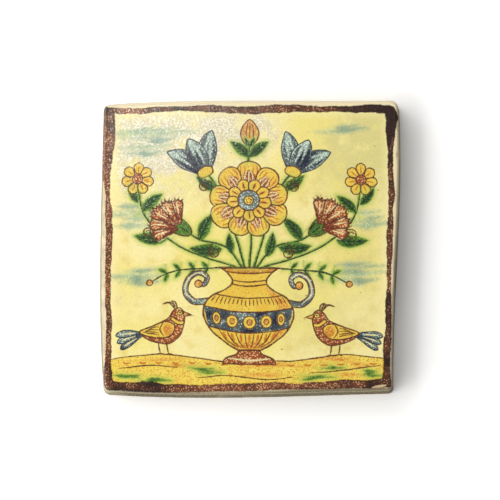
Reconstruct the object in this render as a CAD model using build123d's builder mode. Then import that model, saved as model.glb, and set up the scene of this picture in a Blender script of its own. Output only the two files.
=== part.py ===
"""A hand-painted glazed ceramic wall tile, about 150 mm square, fired in one piece.

The tile lies on its back with its painted face up. The origin is the middle of the nominal square on the
back face. +X is the picture's right, +Y is the picture's top and +Z points out of the glazed face.
The tile was cut by hand, so its corners are out of square and its sides bulge a little.
"""

import os

from build123d import *

# Driving sizes, in millimetres.
tile_side = 150.0  # side of the nominal square that the tile was cut to
thickness = 11.0
wall_splay = 0.9  # how far the face's outline lies inside the back's outline
arris_radius = 1.6  # soft edge that the glaze gives the face
foot_radius = 0.6  # worn edge round the back

# How far each corner of the back stands from the nominal square's corner, and how round it is.
back_left_drift = (0.4, -1.1)
back_right_drift = (1.2, 1.3)
front_right_drift = (-2.6, 0.8)
front_left_drift = (1.7, 0.4)
back_left_radius = 2.6
back_right_radius = 4.2
front_right_radius = 2.8
front_left_radius = 3.6

# How far each side bulges past the line between its corners, at one third and two thirds of its length,
# going clockwise round the face from its left-hand end.
back_bulges = (1.3, 0.6)
right_bulges = (1.5, 0.2)
front_bulges = (1.3, 1.9)
left_bulges = (1.8, 1.2)

# Keying channels pressed into the back, which the wall's mortar grips.
channel_margin = 14.0  # plain border left round the channels
channel_width = 7.0
channel_pitch = 21.0
channel_depth = 1.3
channel_draft = 25.0  # degrees, on the channels' walls
channel_lip_radius = 0.4

half_side = tile_side / 2
corners = {
    "back_left": (-half_side + back_left_drift[0], half_side + back_left_drift[1]),
    "back_right": (half_side + back_right_drift[0], half_side + back_right_drift[1]),
    "front_right": (half_side + front_right_drift[0], -half_side + front_right_drift[1]),
    "front_left": (-half_side + front_left_drift[0], -half_side + front_left_drift[1]),
}
corner_radii = {
    "back_left": back_left_radius,
    "back_right": back_right_radius,
    "front_right": front_right_radius,
    "front_left": front_left_radius,
}
sides = [
    ("back_left", "back_right", back_bulges),
    ("back_right", "front_right", right_bulges),
    ("front_right", "front_left", front_bulges),
    ("front_left", "back_left", left_bulges),
]


def corner_at(name, inset):
    """The named corner, moved towards the middle by the inset along both axes."""
    x, y = corners[name]
    return Vector(x - inset if x > 0 else x + inset, y - inset if y > 0 else y + inset)


def side_points(start_name, end_name, bulges, inset):
    """The four points that one side's curve passes through, from corner to corner."""
    start = corner_at(start_name, inset)
    end = corner_at(end_name, inset)
    along = end - start
    outward = Vector(-along.Y, along.X).normalized()
    first_third = start + along * (1 / 3) + outward * bulges[0]
    second_third = start + along * (2 / 3) + outward * bulges[1]
    return [start, first_third, second_third, end]


def corner_edge(part, name):
    """The slanting edge of the part that stands at the named corner."""
    middle = Vector(*corners[name], thickness / 2)
    return part.edges().sort_by(lambda edge: (edge.center() - middle).length)[0]


# The slab: the back's outline at the bottom, and the same outline drawn in by the splay at the face.
with BuildPart() as tile:
    for height, inset in ((0, 0), (thickness, wall_splay)):
        with BuildSketch(Plane.XY.offset(height)):
            with BuildLine():
                for start_name, end_name, bulges in sides:
                    Spline(*side_points(start_name, end_name, bulges, inset))
            make_face()
    loft(ruled=True)

    # Rounded corners, then the glaze's soft arris round the face and the worn edge round the back.
    for corner_name, radius in corner_radii.items():
        fillet(corner_edge(tile.part, corner_name), radius=radius)
    fillet(tile.faces().sort_by(Axis.Z)[-1].edges(), radius=arris_radius)
    fillet(tile.faces().sort_by(Axis.Z)[0].edges(), radius=foot_radius)

    # Keying channels: parallel blind slots, an even number, so that the back's middle stays a flat land.
    channel_length = tile_side - 2 * channel_margin
    channel_pairs = int((channel_length - channel_width) / channel_pitch + 1) // 2
    with BuildSketch(Plane.XY):
        with GridLocations(0, channel_pitch, 1, 2 * channel_pairs):
            SlotOverall(channel_length, channel_width)
    extrude(amount=channel_depth, taper=channel_draft, mode=Mode.SUBTRACT)
    back = tile.faces().filter_by(Plane.XY).sort_by(Axis.Z)[0]
    fillet(back.inner_wires().edges(), radius=channel_lip_radius)

tile.part.label = "tile"
os.makedirs("parts", exist_ok=True)
export_step(tile.part, "parts/tile.step")
print("tile volume", round(tile.part.volume), "size", tile.part.bounding_box().size)
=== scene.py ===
"""A square hand-painted ceramic tile, dressed with its glaze, its painting and the relief of its firing.

The frame gives the tile's outline, thickness and back. The painting is laid on as washes and brush lines in
millimetres on the face, and the materials turn the distances to them into pigment under the glaze.
"""

import logging
import math
from collections.abc import Sequence
from dataclasses import dataclass, field, replace
from enum import Enum

import bpy
import numpy as np
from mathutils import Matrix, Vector
from mathutils.bvhtree import BVHTree
from mathutils.geometry import delaunay_2d_cdt


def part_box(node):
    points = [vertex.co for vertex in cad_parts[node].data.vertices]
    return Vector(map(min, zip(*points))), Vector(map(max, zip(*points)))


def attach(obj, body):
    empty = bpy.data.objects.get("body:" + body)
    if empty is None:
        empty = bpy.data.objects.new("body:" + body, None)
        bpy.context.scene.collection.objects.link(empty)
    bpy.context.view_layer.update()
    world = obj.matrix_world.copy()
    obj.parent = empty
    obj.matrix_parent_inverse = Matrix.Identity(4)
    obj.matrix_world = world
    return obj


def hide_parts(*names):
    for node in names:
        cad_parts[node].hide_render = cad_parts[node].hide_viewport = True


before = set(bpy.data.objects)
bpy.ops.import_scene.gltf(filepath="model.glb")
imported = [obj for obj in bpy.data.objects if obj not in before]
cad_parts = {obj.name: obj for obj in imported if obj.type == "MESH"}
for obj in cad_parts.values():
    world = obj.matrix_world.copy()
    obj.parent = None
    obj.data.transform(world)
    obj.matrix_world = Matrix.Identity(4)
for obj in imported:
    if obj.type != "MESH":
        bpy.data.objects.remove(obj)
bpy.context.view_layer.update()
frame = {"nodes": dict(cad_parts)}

log = logging.getLogger("painted_tile")

MM = 0.001
Array = np.ndarray
Socket = bpy.types.NodeSocket
Colour = tuple[int, int, int]
Place = tuple[float, float, float]
Point = tuple[float, float]
Row = tuple[float, float, float, float]
Points = tuple[Point, ...]
Rows = tuple[Row, ...]

TILE_MIDDLE: Place = (0.0003, -0.00255, 0.011)  # what the camera and the windows look at


def linear(colour: Colour) -> tuple[float, float, float, float]:
    """Turns a screen colour into the shader's linear one.

    Args:
        colour: Red, green and blue from 0 to 255.

    Returns:
        Linear red, green, blue and an alpha of 1.
    """
    shares = [channel / 255 for channel in colour]
    red, green, blue = [s / 12.92 if s <= 0.04045 else ((s + 0.055) / 1.055) ** 2.4 for s in shares]
    return red, green, blue, 1.0


# Curves on the face


def smooth_curve(points: Sequence[Point], closed: bool = False, step: float = 0.7) -> Array:
    """Draws a smooth curve through given points.

    Args:
        points: The points, in millimetres.
        closed: Whether the curve comes back to its first point.
        step: The longest stretch between two points of the result.

    Returns:
        Rows of x and y along the curve.
    """
    knots = np.array(points, float)
    if closed:
        knots = np.vstack([knots[-1:], knots, knots[:2]])
    else:
        knots = np.vstack([2 * knots[:1] - knots[1:2], knots, 2 * knots[-1:] - knots[-2:-1]])
    stretches = []
    for before, start, end, after in zip(knots, knots[1:], knots[2:], knots[3:]):
        count = max(2, int(np.linalg.norm(end - start) / step) + 1)
        t = np.linspace(0, 1, count, endpoint=False)[:, None]
        linear_part = (end - before) * t
        square_part = (2 * before - 5 * start + 4 * end - after) * t**2
        cubic_part = (3 * start - before - 3 * end + after) * t**3
        stretches.append(start + 0.5 * (linear_part + square_part + cubic_part))
    stretches.append(knots[-2:-1])
    return np.vstack(stretches)


def ellipse(x: float, y: float, half_width: float, half_height: float) -> Array:
    """Returns the outline of an upright ellipse about a point."""
    turn = np.linspace(0, 2 * np.pi, 40, endpoint=False)
    return np.column_stack([x + half_width * np.cos(turn), y + half_height * np.sin(turn)])


def disc(x: float, y: float, radius: float) -> Array:
    """Returns the outline of a round spot about a point."""
    return ellipse(x, y, radius, radius)


def ribbon(path: Array, widths: Sequence[float]) -> Array:
    """Widens a path into the outline of a band.

    Args:
        path: The band's middle line.
        widths: The band's width at evenly spaced stations from start to end.

    Returns:
        The band's outline, up one side and down the other.
    """
    along = np.gradient(path, axis=0)
    along /= np.linalg.norm(along, axis=1)[:, None]
    across = np.column_stack([-along[:, 1], along[:, 0]])
    stations = np.linspace(0, 1, len(path))
    half = np.interp(stations, np.linspace(0, 1, len(widths)), widths)[:, None] / 2
    return np.vstack([path + across * half, (path - across * half)[::-1]])


@dataclass(frozen=True)
class Placement:
    """Where a motif is painted: its own origin on the face, its turn, its size and its hand."""

    x: float = 0.0
    y: float = 0.0
    turn: float = 0.0
    size: float = 1.0
    mirrored: bool = False

    def place(self, path: Array) -> Array:
        """Moves a path from the motif's own directions onto the face."""
        across = -path[:, 0] if self.mirrored else path[:, 0]
        local = np.column_stack([across, path[:, 1]]) * self.size
        turn = math.radians(self.turn)
        spin = np.array([[math.cos(turn), math.sin(turn)], [-math.sin(turn), math.cos(turn)]])
        return local @ spin + (self.x, self.y)

    def twin(self) -> "Placement":
        """Returns the same place mirrored about the tile's upright middle line."""
        return Placement(-self.x, self.y, -self.turn, self.size, not self.mirrored)

    def child(self, x: float, y: float, turn: float = 0, size: float = 1) -> "Placement":
        """Finds a place that is given in this one's own directions.

        Args:
            x: Across, in this placement's directions.
            y: Up, in this placement's directions.
            turn: Degrees anticlockwise from this placement.
            size: Size against this placement.

        Returns:
            The child's place on the face.
        """
        origin = self.place(np.array([[x, y]]))[0]
        turned = self.turn - turn if self.mirrored else self.turn + turn
        return Placement(float(origin[0]), float(origin[1]), turned, self.size * size, self.mirrored)


@dataclass(frozen=True)
class Blade:
    """A petal or leaf that grows from the origin along +Y.

    The fullest share says how far along it is widest, blunt under 1 rounds its tip, and it bends to the
    left by its bend in degrees.
    """

    length: float
    width: float
    fullest: float = 0.55
    blunt: float = 0.8
    bend: float = 0.0

    def path(self, share: float, start: float = 0, end: float = 1) -> Array:
        """Follows the blade at a share of its half-width.

        Args:
            share: From -1 at the left edge to 1 at the right edge.
            start: Where to start, as a share of the length.
            end: Where to end, as a share of the length.

        Returns:
            The path, from start to end.
        """
        count = max(5, int(self.length * abs(end - start) / 0.6))
        t = np.linspace(start, end, count)
        power = math.log(0.5) / math.log(self.fullest)
        half = self.width / 2 * np.clip(np.sin(np.pi * t**power), 0, 1) ** self.blunt
        bend = math.radians(self.bend) or 1e-6
        spine = np.column_stack([np.cos(bend * t) - 1, np.sin(bend * t)]) * self.length / bend
        right = np.column_stack([np.cos(bend * t), np.sin(bend * t)])
        return spine + right * (half * share)[:, None]

    def outline(self) -> Array:
        """Returns the blade's outline, up its right edge and down its left one."""
        return np.vstack([self.path(1), self.path(-1)[-2:0:-1]])


@dataclass(frozen=True)
class SmoothNoise:
    """Seeded noise over a plane, between -1 and 1, that changes smoothly over its spacing."""

    seed: int
    spacing: float

    def at(self, places: Array) -> Array:
        """Reads the noise.

        Args:
            places: Rows of x and y.

        Returns:
            One value for each place.
        """
        size = 128
        lattice = np.random.default_rng(self.seed).uniform(-1, 1, (size, size))
        scaled = places / self.spacing + size / 2
        cell = np.floor(scaled).astype(int)
        part = scaled - cell
        ease = part * part * (3 - 2 * part)
        column, row = cell[:, 0] % size, cell[:, 1] % size
        next_column, next_row = (column + 1) % size, (row + 1) % size
        low = lattice[column, row] * (1 - ease[:, 0]) + lattice[next_column, row] * ease[:, 0]
        high = lattice[column, next_row] * (1 - ease[:, 0]) + lattice[next_column, next_row] * ease[:, 0]
        return low * (1 - ease[:, 1]) + high * ease[:, 1]


def nearest_on_path(places: Array, path: Array) -> tuple[Array, Array, Array]:
    """Measures places against a path.

    Args:
        places: Rows of x and y.
        path: The path's points.

    Returns:
        Each place's offset, positive to the path's left, how far along the path it lies, and how far it
        lies past either end.
    """
    moves = np.linalg.norm(np.diff(path, axis=0), axis=1) > 1e-9
    path = path[np.concatenate([[True], moves])]
    start = path[:-1]
    span = path[1:] - start
    length = np.linalg.norm(span, axis=1)
    travelled = np.concatenate([[0], np.cumsum(length)[:-1]])
    offsets, alongs, beyonds = [], [], []
    block = max(1, 2_000_000 // len(span))
    for first in range(0, len(places), block):
        reach = places[first : first + block, None] - start[None]
        share = (reach * span).sum(2) / length**2
        gap = reach - np.clip(share, 0, 1)[..., None] * span
        squared = (gap**2).sum(2)
        best = squared.argmin(1)
        rows = np.arange(len(best))
        side = span[best, 0] * reach[rows, best, 1] - span[best, 1] * reach[rows, best, 0]
        lateral = side / length[best]
        chosen = share[rows, best]
        before = np.where(best == 0, np.maximum(-chosen, 0), 0) * length[best]
        after = np.where(best == len(span) - 1, np.maximum(chosen - 1, 0), 0) * length[best]
        beyond = before + after
        radial = np.sign(side) * np.sqrt(squared[rows, best])
        offsets.append(np.where(beyond > 0, lateral, radial))
        alongs.append(travelled[best] + np.clip(chosen, 0, 1) * length[best])
        beyonds.append(beyond)
    return np.concatenate(offsets), np.concatenate(alongs), np.concatenate(beyonds)


def inside_outline(places: Array, outline: Array) -> Array:
    """Says which places lie inside a closed outline.

    Args:
        places: Rows of x and y.
        outline: The outline's points, not repeating the first.

    Returns:
        True or False for each place.
    """
    inside = np.zeros(len(places), bool)
    x, y = places[:, 0], places[:, 1]
    for (x1, y1), (x2, y2) in zip(outline, np.roll(outline, -1, axis=0)):
        if y1 != y2:
            crosses = ((y1 > y) != (y2 > y)) & (x < (x2 - x1) * (y - y1) / (y2 - y1) + x1)
            inside ^= crosses
    return inside


# The painting


class Ink(Enum):
    """The pigments that are washed on, in the order in which one hides another."""

    TURQUOISE = "turquoise"
    YELLOW = "yellow"
    ORANGE = "orange"
    GREEN = "green"
    BLUE = "blue"
    RUST = "rust"
    STRIPE = "stripe"


class Pen(Enum):
    """What a brush line is drawn in, and its rank where two lines cross."""

    GLAZE = 0
    ORANGE = 1
    GREEN = 2
    BLUE = 3
    BROWN = 4


class Canvas:
    """The glazed skin as the painter meets it.

    It keeps, for each vertex, the distance to each pigment's washes and, for each corner of each quad, the
    offset from the two nearest brush lines. All distances are in millimetres.
    """

    far: float = 9.0  # the distance noted where nothing is near
    bleed_reach: float = 5.0  # how far past its outline a wash is worked out
    line_reach: float = 1.6
    line_growth: float = 1.2  # how much wider every line is drawn than it is called
    line_margin: float = 0.7  # how near a line a quad lies that keeps it
    bare_load: float = 0.5

    def __init__(self, places: Array, quads: Array, seed: int = 7) -> None:
        """Starts with bare glaze.

        Args:
            places: Each vertex's x and y, in millimetres.
            quads: Each quad's four vertices.
            seed: What the painter's unevenness grows from.
        """
        self.hand = np.random.default_rng(seed)
        sway = self._drift(places, seed + 1, 30)
        tremble = self._drift(places, seed + 3, 5)
        self.places = places + 0.9 * sway + 0.14 * tremble
        self.wash_places = self.places + 0.28 * self._drift(places, seed + 5, 11)
        self.quads = quads
        self.washes = {ink: np.full(len(places), -self.far) for ink in Ink}
        self.load = np.full(len(places), self.bare_load)
        self.line_gap = np.full((2, len(quads)), np.inf)
        self.lines = np.zeros((2, len(quads), 4, 3))
        self.lines[..., 0] = self.far

    @staticmethod
    def _drift(places: Array, seed: int, spacing: float) -> Array:
        """Returns how the hand drifts at each place, across and up."""
        return np.column_stack([SmoothNoise(seed + axis, spacing).at(places) for axis in (0, 1)])

    @staticmethod
    def _nearby(places: Array, path: Array, reach: float) -> Array:
        """Returns the numbers of the vertices inside a path's box, widened by the reach."""
        low, high = path.min(0) - reach, path.max(0) + reach
        return np.flatnonzero(((places > low) & (places < high)).all(1))

    def wash(self, outline: Array, ink: Ink, load: float, covers: bool = True) -> None:
        """Fills an outline with pigment.

        Args:
            outline: The closed outline, on the face.
            ink: The pigment.
            load: How thick it lies, from 0 to 1.
            covers: Whether the wash hides what was painted there before.
        """
        near = self._nearby(self.wash_places, outline, self.bleed_reach)
        if not len(near):
            return
        places = self.wash_places[near]
        offset, _, _ = nearest_on_path(places, np.vstack([outline, outline[:1]]))
        depth = np.where(inside_outline(places, outline), 1, -1) * np.minimum(np.abs(offset), self.far)
        self.washes[ink][near] = np.maximum(self.washes[ink][near], depth)
        share = np.clip(depth / 0.6 + 0.5, 0, 1)
        self.load[near] += (load + self.hand.normal(0, 0.05) - self.load[near]) * share
        if not covers:
            return
        for other, hidden in self.washes.items():
            if other is not ink:
                hidden[near] = np.minimum(hidden[near], -depth)
        covered = np.zeros(len(self.places), bool)
        covered[near] = depth > -0.3
        self.wipe(covered)

    def wipe(self, covered: Array) -> None:
        """Takes the lines off the quads whose four vertices are all covered."""
        wiped = covered[self.quads].all(1)
        self.line_gap[:, wiped] = np.inf
        self.lines[:, wiped, :, 0] = self.far

    def line(self, path: Array, pen: Pen, width: float, end: float = 0.45, closed: bool = False) -> None:
        """Draws a brush line.

        Args:
            path: The line's middle, on the face.
            pen: What it is drawn in.
            width: Its width at its fullest.
            end: Its width at its ends, as a share of the full width.
            closed: Whether it comes back to its start.
        """
        if closed:
            path = np.vstack([path, path[:3]])
        near = self._nearby(self.places, path, self.line_reach)
        if not len(near):
            return
        offset, along, beyond = nearest_on_path(self.places[near], path)
        total = float(np.linalg.norm(np.diff(path, axis=0), axis=1).sum())
        press = np.sin(np.pi * np.clip(along / total, 0, 1)) ** 0.6
        pressure = 1.0 if closed else end + (1 - end) * press
        waver = 1 + 0.22 * SmoothNoise(int(self.hand.integers(1 << 30)), 2.6).at(self.places[near])
        half = self.line_growth * width / 2 * pressure * waver - beyond
        seat = np.full(len(self.places), -1)
        seat[near] = np.arange(len(near))
        corners = seat[self.quads]
        touched = np.flatnonzero((corners >= 0).all(1))
        gap = (np.abs(offset) - half)[corners[touched]].min(1)
        touched, gap = touched[gap < self.line_margin], gap[gap < self.line_margin]
        rank = np.full(len(near), float(pen.value))
        drawn = np.stack([offset, half, rank], axis=1)[corners[touched]]
        nearest = gap < self.line_gap[0, touched]
        self._keep(1, touched[nearest], self.line_gap[0, touched[nearest]], self.lines[0, touched[nearest]])
        self._keep(0, touched[nearest], gap[nearest], drawn[nearest])
        second = ~nearest & (gap < self.line_gap[1, touched])
        self._keep(1, touched[second], gap[second], drawn[second])

    def _keep(self, layer: int, quads: Array, gap: Array, drawn: Array) -> None:
        """Notes these lines as the nearest (0) or second nearest (1) of these quads."""
        self.line_gap[layer, quads] = gap
        self.lines[layer, quads] = drawn

    def store(self, mesh: bpy.types.Mesh) -> None:
        """Writes the painting to the mesh, whose first vertices and faces are the canvas's, as attributes."""
        for ink, depth in self.washes.items():
            store_values(mesh, ink.value, depth, -self.far)
        store_values(mesh, "load", self.load, self.bare_load)
        first_above = self.lines[0, :, 0, 2] >= self.lines[1, :, 0, 2]
        order = np.where(first_above, 0, 1)
        every = np.arange(len(self.quads))
        for name, layer in (("line_above", order), ("line_below", 1 - order)):
            spread = np.zeros((len(mesh.loops), 3), np.float32)
            spread[:, 0] = self.far
            spread[: 4 * len(self.quads)] = self.lines[layer, every].reshape(-1, 3)
            mesh.attributes.new(name, "FLOAT_VECTOR", "CORNER").data.foreach_set("vector", spread.ravel())


def store_values(mesh: bpy.types.Mesh, name: str, values: Array, rest: float) -> None:
    """Writes one value for each vertex as an attribute.

    Args:
        mesh: The mesh.
        name: The attribute's name.
        values: The values of the mesh's first vertices.
        rest: The value of the vertices after them.
    """
    spread = np.full(len(mesh.vertices), rest, np.float32)
    spread[: len(values)] = values
    mesh.attributes.new(name, "FLOAT", "POINT").data.foreach_set("value", spread)


@dataclass(frozen=True)
class Brush:
    """The painter's brush over one motif, which takes all places in the motif's own directions."""

    canvas: Canvas
    at: Placement = Placement()

    @property
    def hand(self) -> np.random.Generator:
        """Returns what the painter's unevenness is drawn from."""
        return self.canvas.hand

    def moved(self, x: float, y: float, turn: float = 0, size: float = 1) -> "Brush":
        """Returns the brush over a part of the motif."""
        return Brush(self.canvas, self.at.child(x, y, turn, size))

    def flipped(self) -> "Brush":
        """Returns the brush over the same place, with left and right changed over."""
        return Brush(self.canvas, replace(self.at, mirrored=not self.at.mirrored))

    def twin(self) -> "Brush":
        """Returns the brush over the place that mirrors this one on the tile's other half."""
        return Brush(self.canvas, self.at.twin())

    def wash(self, outline: Array, ink: Ink, load: float, covers: bool = True) -> None:
        """Fills an outline with pigment."""
        self.canvas.wash(self.at.place(outline), ink, load, covers)

    def shade(self, path: Array, widths: Sequence[float], ink: Ink, load: float) -> None:
        """Goes over a wash with one stroke, whose widths are in millimetres on the face."""
        self.canvas.wash(ribbon(self.at.place(path), widths), ink, load, covers=False)

    def line(self, path: Array, pen: Pen, width: float, end: float = 0.45) -> None:
        """Draws a line, which thins to a share of its width at its ends."""
        self.canvas.line(self.at.place(path), pen, width, end)

    def curve(self, points: Sequence[Point], pen: Pen, width: float, end: float = 0.45) -> None:
        """Draws a line smoothly through points."""
        self.line(smooth_curve(points), pen, width, end)

    def contour(self, outline: Array, width: float = 0.6, pen: Pen = Pen.BROWN) -> None:
        """Draws a closed outline in a thin line."""
        self.canvas.line(self.at.place(outline), pen, width, closed=True)

    def fill(self, outline: Array, ink: Ink, load: float, width: float = 0.6) -> None:
        """Fills an outline with pigment and draws round it in brown."""
        self.wash(outline, ink, load)
        self.contour(outline, width)


@dataclass(frozen=True)
class Leaf:
    """A green leaf with darker strokes beside its midrib, which bleeds into the glaze round it."""

    shape: Blade = Blade(17, 6.8, fullest=0.42, blunt=0.85, bend=24)
    veins: int = 4

    def paint(self, brush: Brush) -> None:
        """Paints the leaf, whose stalk starts at the brush's place."""
        shape = self.shape
        broad = shape.width * brush.at.size
        brush.wash(shape.outline(), Ink.GREEN, load=0.36)
        brush.shade(shape.path(0.55, 0.1, 0.9), (0.1, broad * 0.22, 0.1), Ink.GREEN, load=0.95)
        brush.shade(shape.path(-0.3, 0.05, 0.75), (0.1, broad * 0.16, 0.1), Ink.GREEN, load=0.8)
        brush.line(shape.path(0, 0, 0.92), Pen.GREEN, 0.85, end=0.3)
        for number in range(self.veins):
            start = 0.15 + 0.6 * number / self.veins
            root = shape.path(0, start, start + 0.05)[0]
            for side in (-1, 1):
                tip = shape.path(0.75 * side, start + 0.2, start + 0.25)[0]
                brush.curve([root, (root + tip) / 2 + (0, 0.5), tip], Pen.GREEN, 0.5, end=0.3)


@dataclass(frozen=True)
class Rosette:
    """The big open flower: two rings of petals round a granular heart."""

    petals: int = 9
    petal: Blade = Blade(14.6, 11.6, fullest=0.66, blunt=0.5)
    flame: Blade = Blade(10.4, 6.4, fullest=0.6, blunt=0.75)
    inner_petal: Blade = Blade(7.6, 5.8, fullest=0.6, blunt=0.6)
    petal_root: float = 5.2
    inner_petal_root: float = 3.4
    heart_radius: float = 5.2
    core_radius: float = 2.3
    dots: int = 5

    def paint(self, brush: Brush) -> None:
        """Paints the flower round the brush's place."""
        for number in range(self.petals):
            turn = 360 * number / self.petals + brush.hand.normal(0, 2)
            size = 1 + brush.hand.normal(0, 0.05)
            self._paint_petal(brush.moved(0, 0, turn).moved(0, self.petal_root, 0, size))
        for number in range(self.petals):
            turn = 360 * (number + 0.5) / self.petals + brush.hand.normal(0, 2)
            self._paint_inner_petal(brush.moved(0, 0, turn).moved(0, self.inner_petal_root))
        self._paint_heart(brush)

    def _paint_petal(self, brush: Brush) -> None:
        """Paints one outer petal: yellow, with a granular flame from its root."""
        brush.wash(self.petal.outline(), Ink.YELLOW, load=0.4)
        brush.shade(self.petal.path(0.7, 0.35, 0.9), (0.3, 1.6, 0.3), Ink.ORANGE, load=0.4)
        brush.wash(self.flame.outline(), Ink.RUST, load=0.55, covers=False)
        for share in (-0.62, 0, 0.62):
            brush.line(self.flame.path(share, 0.3, 0.95), Pen.GLAZE, 0.55, end=0.25)
        for share in (-0.72, -0.36, 0.36, 0.72):
            brush.line(self.petal.path(share, 0.5, 0.82), Pen.ORANGE, 0.55, end=0.25)
        brush.contour(self.petal.outline())

    def _paint_inner_petal(self, brush: Brush) -> None:
        """Paints one small petal of the inner ring."""
        brush.wash(self.inner_petal.outline(), Ink.YELLOW, load=0.6)
        brush.shade(self.inner_petal.path(0, 0.2, 0.75), (0.4, 2.2, 0.4), Ink.ORANGE, load=0.6)
        brush.line(self.inner_petal.path(0, 0.3, 0.8), Pen.BROWN, 0.5, end=0.25)
        brush.contour(self.inner_petal.outline(), 0.55)

    def _paint_heart(self, brush: Brush) -> None:
        """Paints the granular heart and its core with a ring of dots."""
        brush.fill(disc(0, 0, self.heart_radius), Ink.BLUE, load=0.7, width=0.65)
        brush.fill(disc(0, 0, self.core_radius), Ink.YELLOW, load=0.7, width=0.55)
        for number in range(self.dots):
            dot = brush.moved(0, 0, 360 / self.dots * number).moved(0, 1.1)
            dot.line(np.array([[-0.3, 0], [0.3, 0.1]]), Pen.BROWN, 0.6, end=0.8)


@dataclass(frozen=True)
class Carnation:
    """A fan of saw-edged petals in granular rust over a green cup.

    The marks of a stroke or a streak say how far up the petal it passes, and how much of its lean it has
    there.
    """

    petals: int = 5
    petal_length: float = 14.0
    petal_root: float = 4.2
    fan: float = 130.0
    teeth: int = 4
    bite: float = 0.1
    stroke_marks: Points = ((0.1, 0), (0.45, 0.5), (0.8, 1))
    streak_marks: Points = ((0.5, 0.5), (0.75, 0.8), (0.96, 1))
    half_cup: Points = ((1.4, 4.6), (3.4, 5.6), (2.6, 1.6), (0.9, -0.8))
    cup_top: float = 6.6

    def _petal(self, middle: float, length: float) -> Array:
        """Returns the outline of a petal whose middle line stands at an angle, in degrees."""
        half = self.fan / self.petals * 0.56
        stations = np.linspace(-1, 1, 2 * self.teeth + 1)
        turn = np.radians(90 + middle + half * stations)
        saw = 1 - self.bite * (np.arange(len(stations)) % 2 == 0)
        reach = length * saw * (1 - 0.1 * stations**2)
        crown = np.column_stack([reach * np.cos(turn), reach * np.sin(turn)])
        return np.vstack([[[0, 0]], crown])

    def paint(self, brush: Brush) -> None:
        """Paints the flower, whose cup starts at the brush's place, with its outer petals first."""
        root = brush.moved(0, self.petal_root)
        places = np.arange(self.petals) - (self.petals - 1) / 2
        for place in sorted(places, key=abs, reverse=True):
            length = self.petal_length * (1 - 0.06 * abs(place))
            self._paint_petal(root, self._petal(place * self.fan / self.petals, length))
        self._paint_cup(brush)

    def _paint_petal(self, brush: Brush, petal: Array) -> None:
        """Paints one petal: thin at its crown and thick towards its root."""
        brush.wash(petal, Ink.RUST, load=0.25)
        crown = petal[1:].mean(0)
        across = np.array([-crown[1], crown[0]])
        for lean, load in ((-0.16, 0.9), (0.16, 0.7)):
            stroke = [crown * up + across * lean * share for up, share in self.stroke_marks]
            brush.shade(smooth_curve(stroke), (1.6, 2.2, 0.5), Ink.RUST, load)
        for lean in (-0.28, 0, 0.28):
            streak = [crown * up + across * lean * share for up, share in self.streak_marks]
            brush.curve(streak, Pen.GLAZE, 0.6, end=0.3)
        brush.contour(petal)

    def _paint_cup(self, brush: Brush) -> None:
        """Paints the green cup that holds the petals."""
        right = np.array(self.half_cup)
        cup = smooth_curve(np.vstack([right[::-1] * (-1, 1), [[0, self.cup_top]], right]), closed=True)
        brush.wash(cup, Ink.GREEN, load=0.45)
        brush.shade(smooth_curve([(-1.8, 0.4), (-2.2, 3.8)]), (1.1, 0.6), Ink.GREEN, load=0.95)
        brush.curve([(0, 0.4), (0, 4.6)], Pen.GREEN, 0.7)
        brush.contour(cup, 0.5)


@dataclass(frozen=True)
class Tulip:
    """A blue flower of three petals: pale washes with dark granular strokes over them."""

    middle: Blade = Blade(15.5, 7.6, fullest=0.5, blunt=0.72)
    side: Blade = Blade(16.5, 7, fullest=0.5, blunt=0.78, bend=34)
    half_collar: Points = ((3, 1.8), (2.6, -0.6))

    def paint(self, brush: Brush) -> None:
        """Paints the flower from its root at the brush's place."""
        for half in (brush, brush.flipped()):
            self._paint_petal(half.moved(-1.4, 0.6, 14), self.side)
        self._paint_petal(brush, self.middle)
        right = np.array(self.half_collar)
        collar = np.vstack([[[0, 3.0]], right, [[0, -1.2]], right[::-1] * (-1, 1)])
        brush.fill(smooth_curve(collar, closed=True), Ink.YELLOW, load=0.6, width=0.55)

    def _paint_petal(self, brush: Brush, shape: Blade) -> None:
        """Paints one petal with dark strokes along its folds."""
        brush.wash(shape.outline(), Ink.BLUE, load=0.16)
        broad = shape.width * brush.at.size
        for share, end, width in ((0.66, 0.96, 0.36), (0, 0.76, 0.24), (-0.66, 0.86, 0.26)):
            brush.shade(shape.path(share, 0.04, end), (broad * 0.24, broad * width, 0.2), Ink.BLUE, load=0.9)
        brush.contour(shape.outline(), 0.55, Pen.BLUE)


@dataclass(frozen=True)
class Daisy:
    """A small flower with a rust heart."""

    petals: int = 7
    petal: Blade = Blade(5.2, 4, fullest=0.62, blunt=0.55)
    petal_root: float = 1.5
    heart_radius: float = 2.1

    def paint(self, brush: Brush) -> None:
        """Paints the flower round the brush's place."""
        for number in range(self.petals):
            turn = 360 * number / self.petals + brush.hand.normal(0, 3)
            petal = brush.moved(0, 0, turn).moved(0, self.petal_root)
            petal.wash(self.petal.outline(), Ink.YELLOW, load=0.5)
            petal.line(self.petal.path(0, 0.15, 0.7), Pen.ORANGE, 0.6, end=0.3)
            petal.contour(self.petal.outline(), 0.5)
        brush.fill(disc(0, 0, self.heart_radius), Ink.RUST, load=0.5, width=0.5)


@dataclass(frozen=True)
class Bud:
    """A closed bud with a green cup."""

    shape: Blade = Blade(12.5, 8.4, fullest=0.45, blunt=0.72)
    sepal: Blade = Blade(5.4, 2.4, fullest=0.4)
    sepal_vein: Blade = Blade(5.4, 2.4)

    def paint(self, brush: Brush) -> None:
        """Paints the bud from its root at the brush's place."""
        brush.wash(self.shape.outline(), Ink.ORANGE, load=0.5)
        for share in (-0.4, 0, 0.4):
            brush.line(self.shape.path(share, 0.3, 0.85), Pen.BROWN, 0.45, end=0.3)
        brush.contour(self.shape.outline(), 0.55)
        for turn in (26, -26):
            sepal = brush.moved(0, -0.6, turn)
            sepal.wash(self.sepal.outline(), Ink.GREEN, load=0.6)
            sepal.line(self.sepal_vein.path(0, 0.1, 0.9), Pen.GREEN, 0.6)


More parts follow.
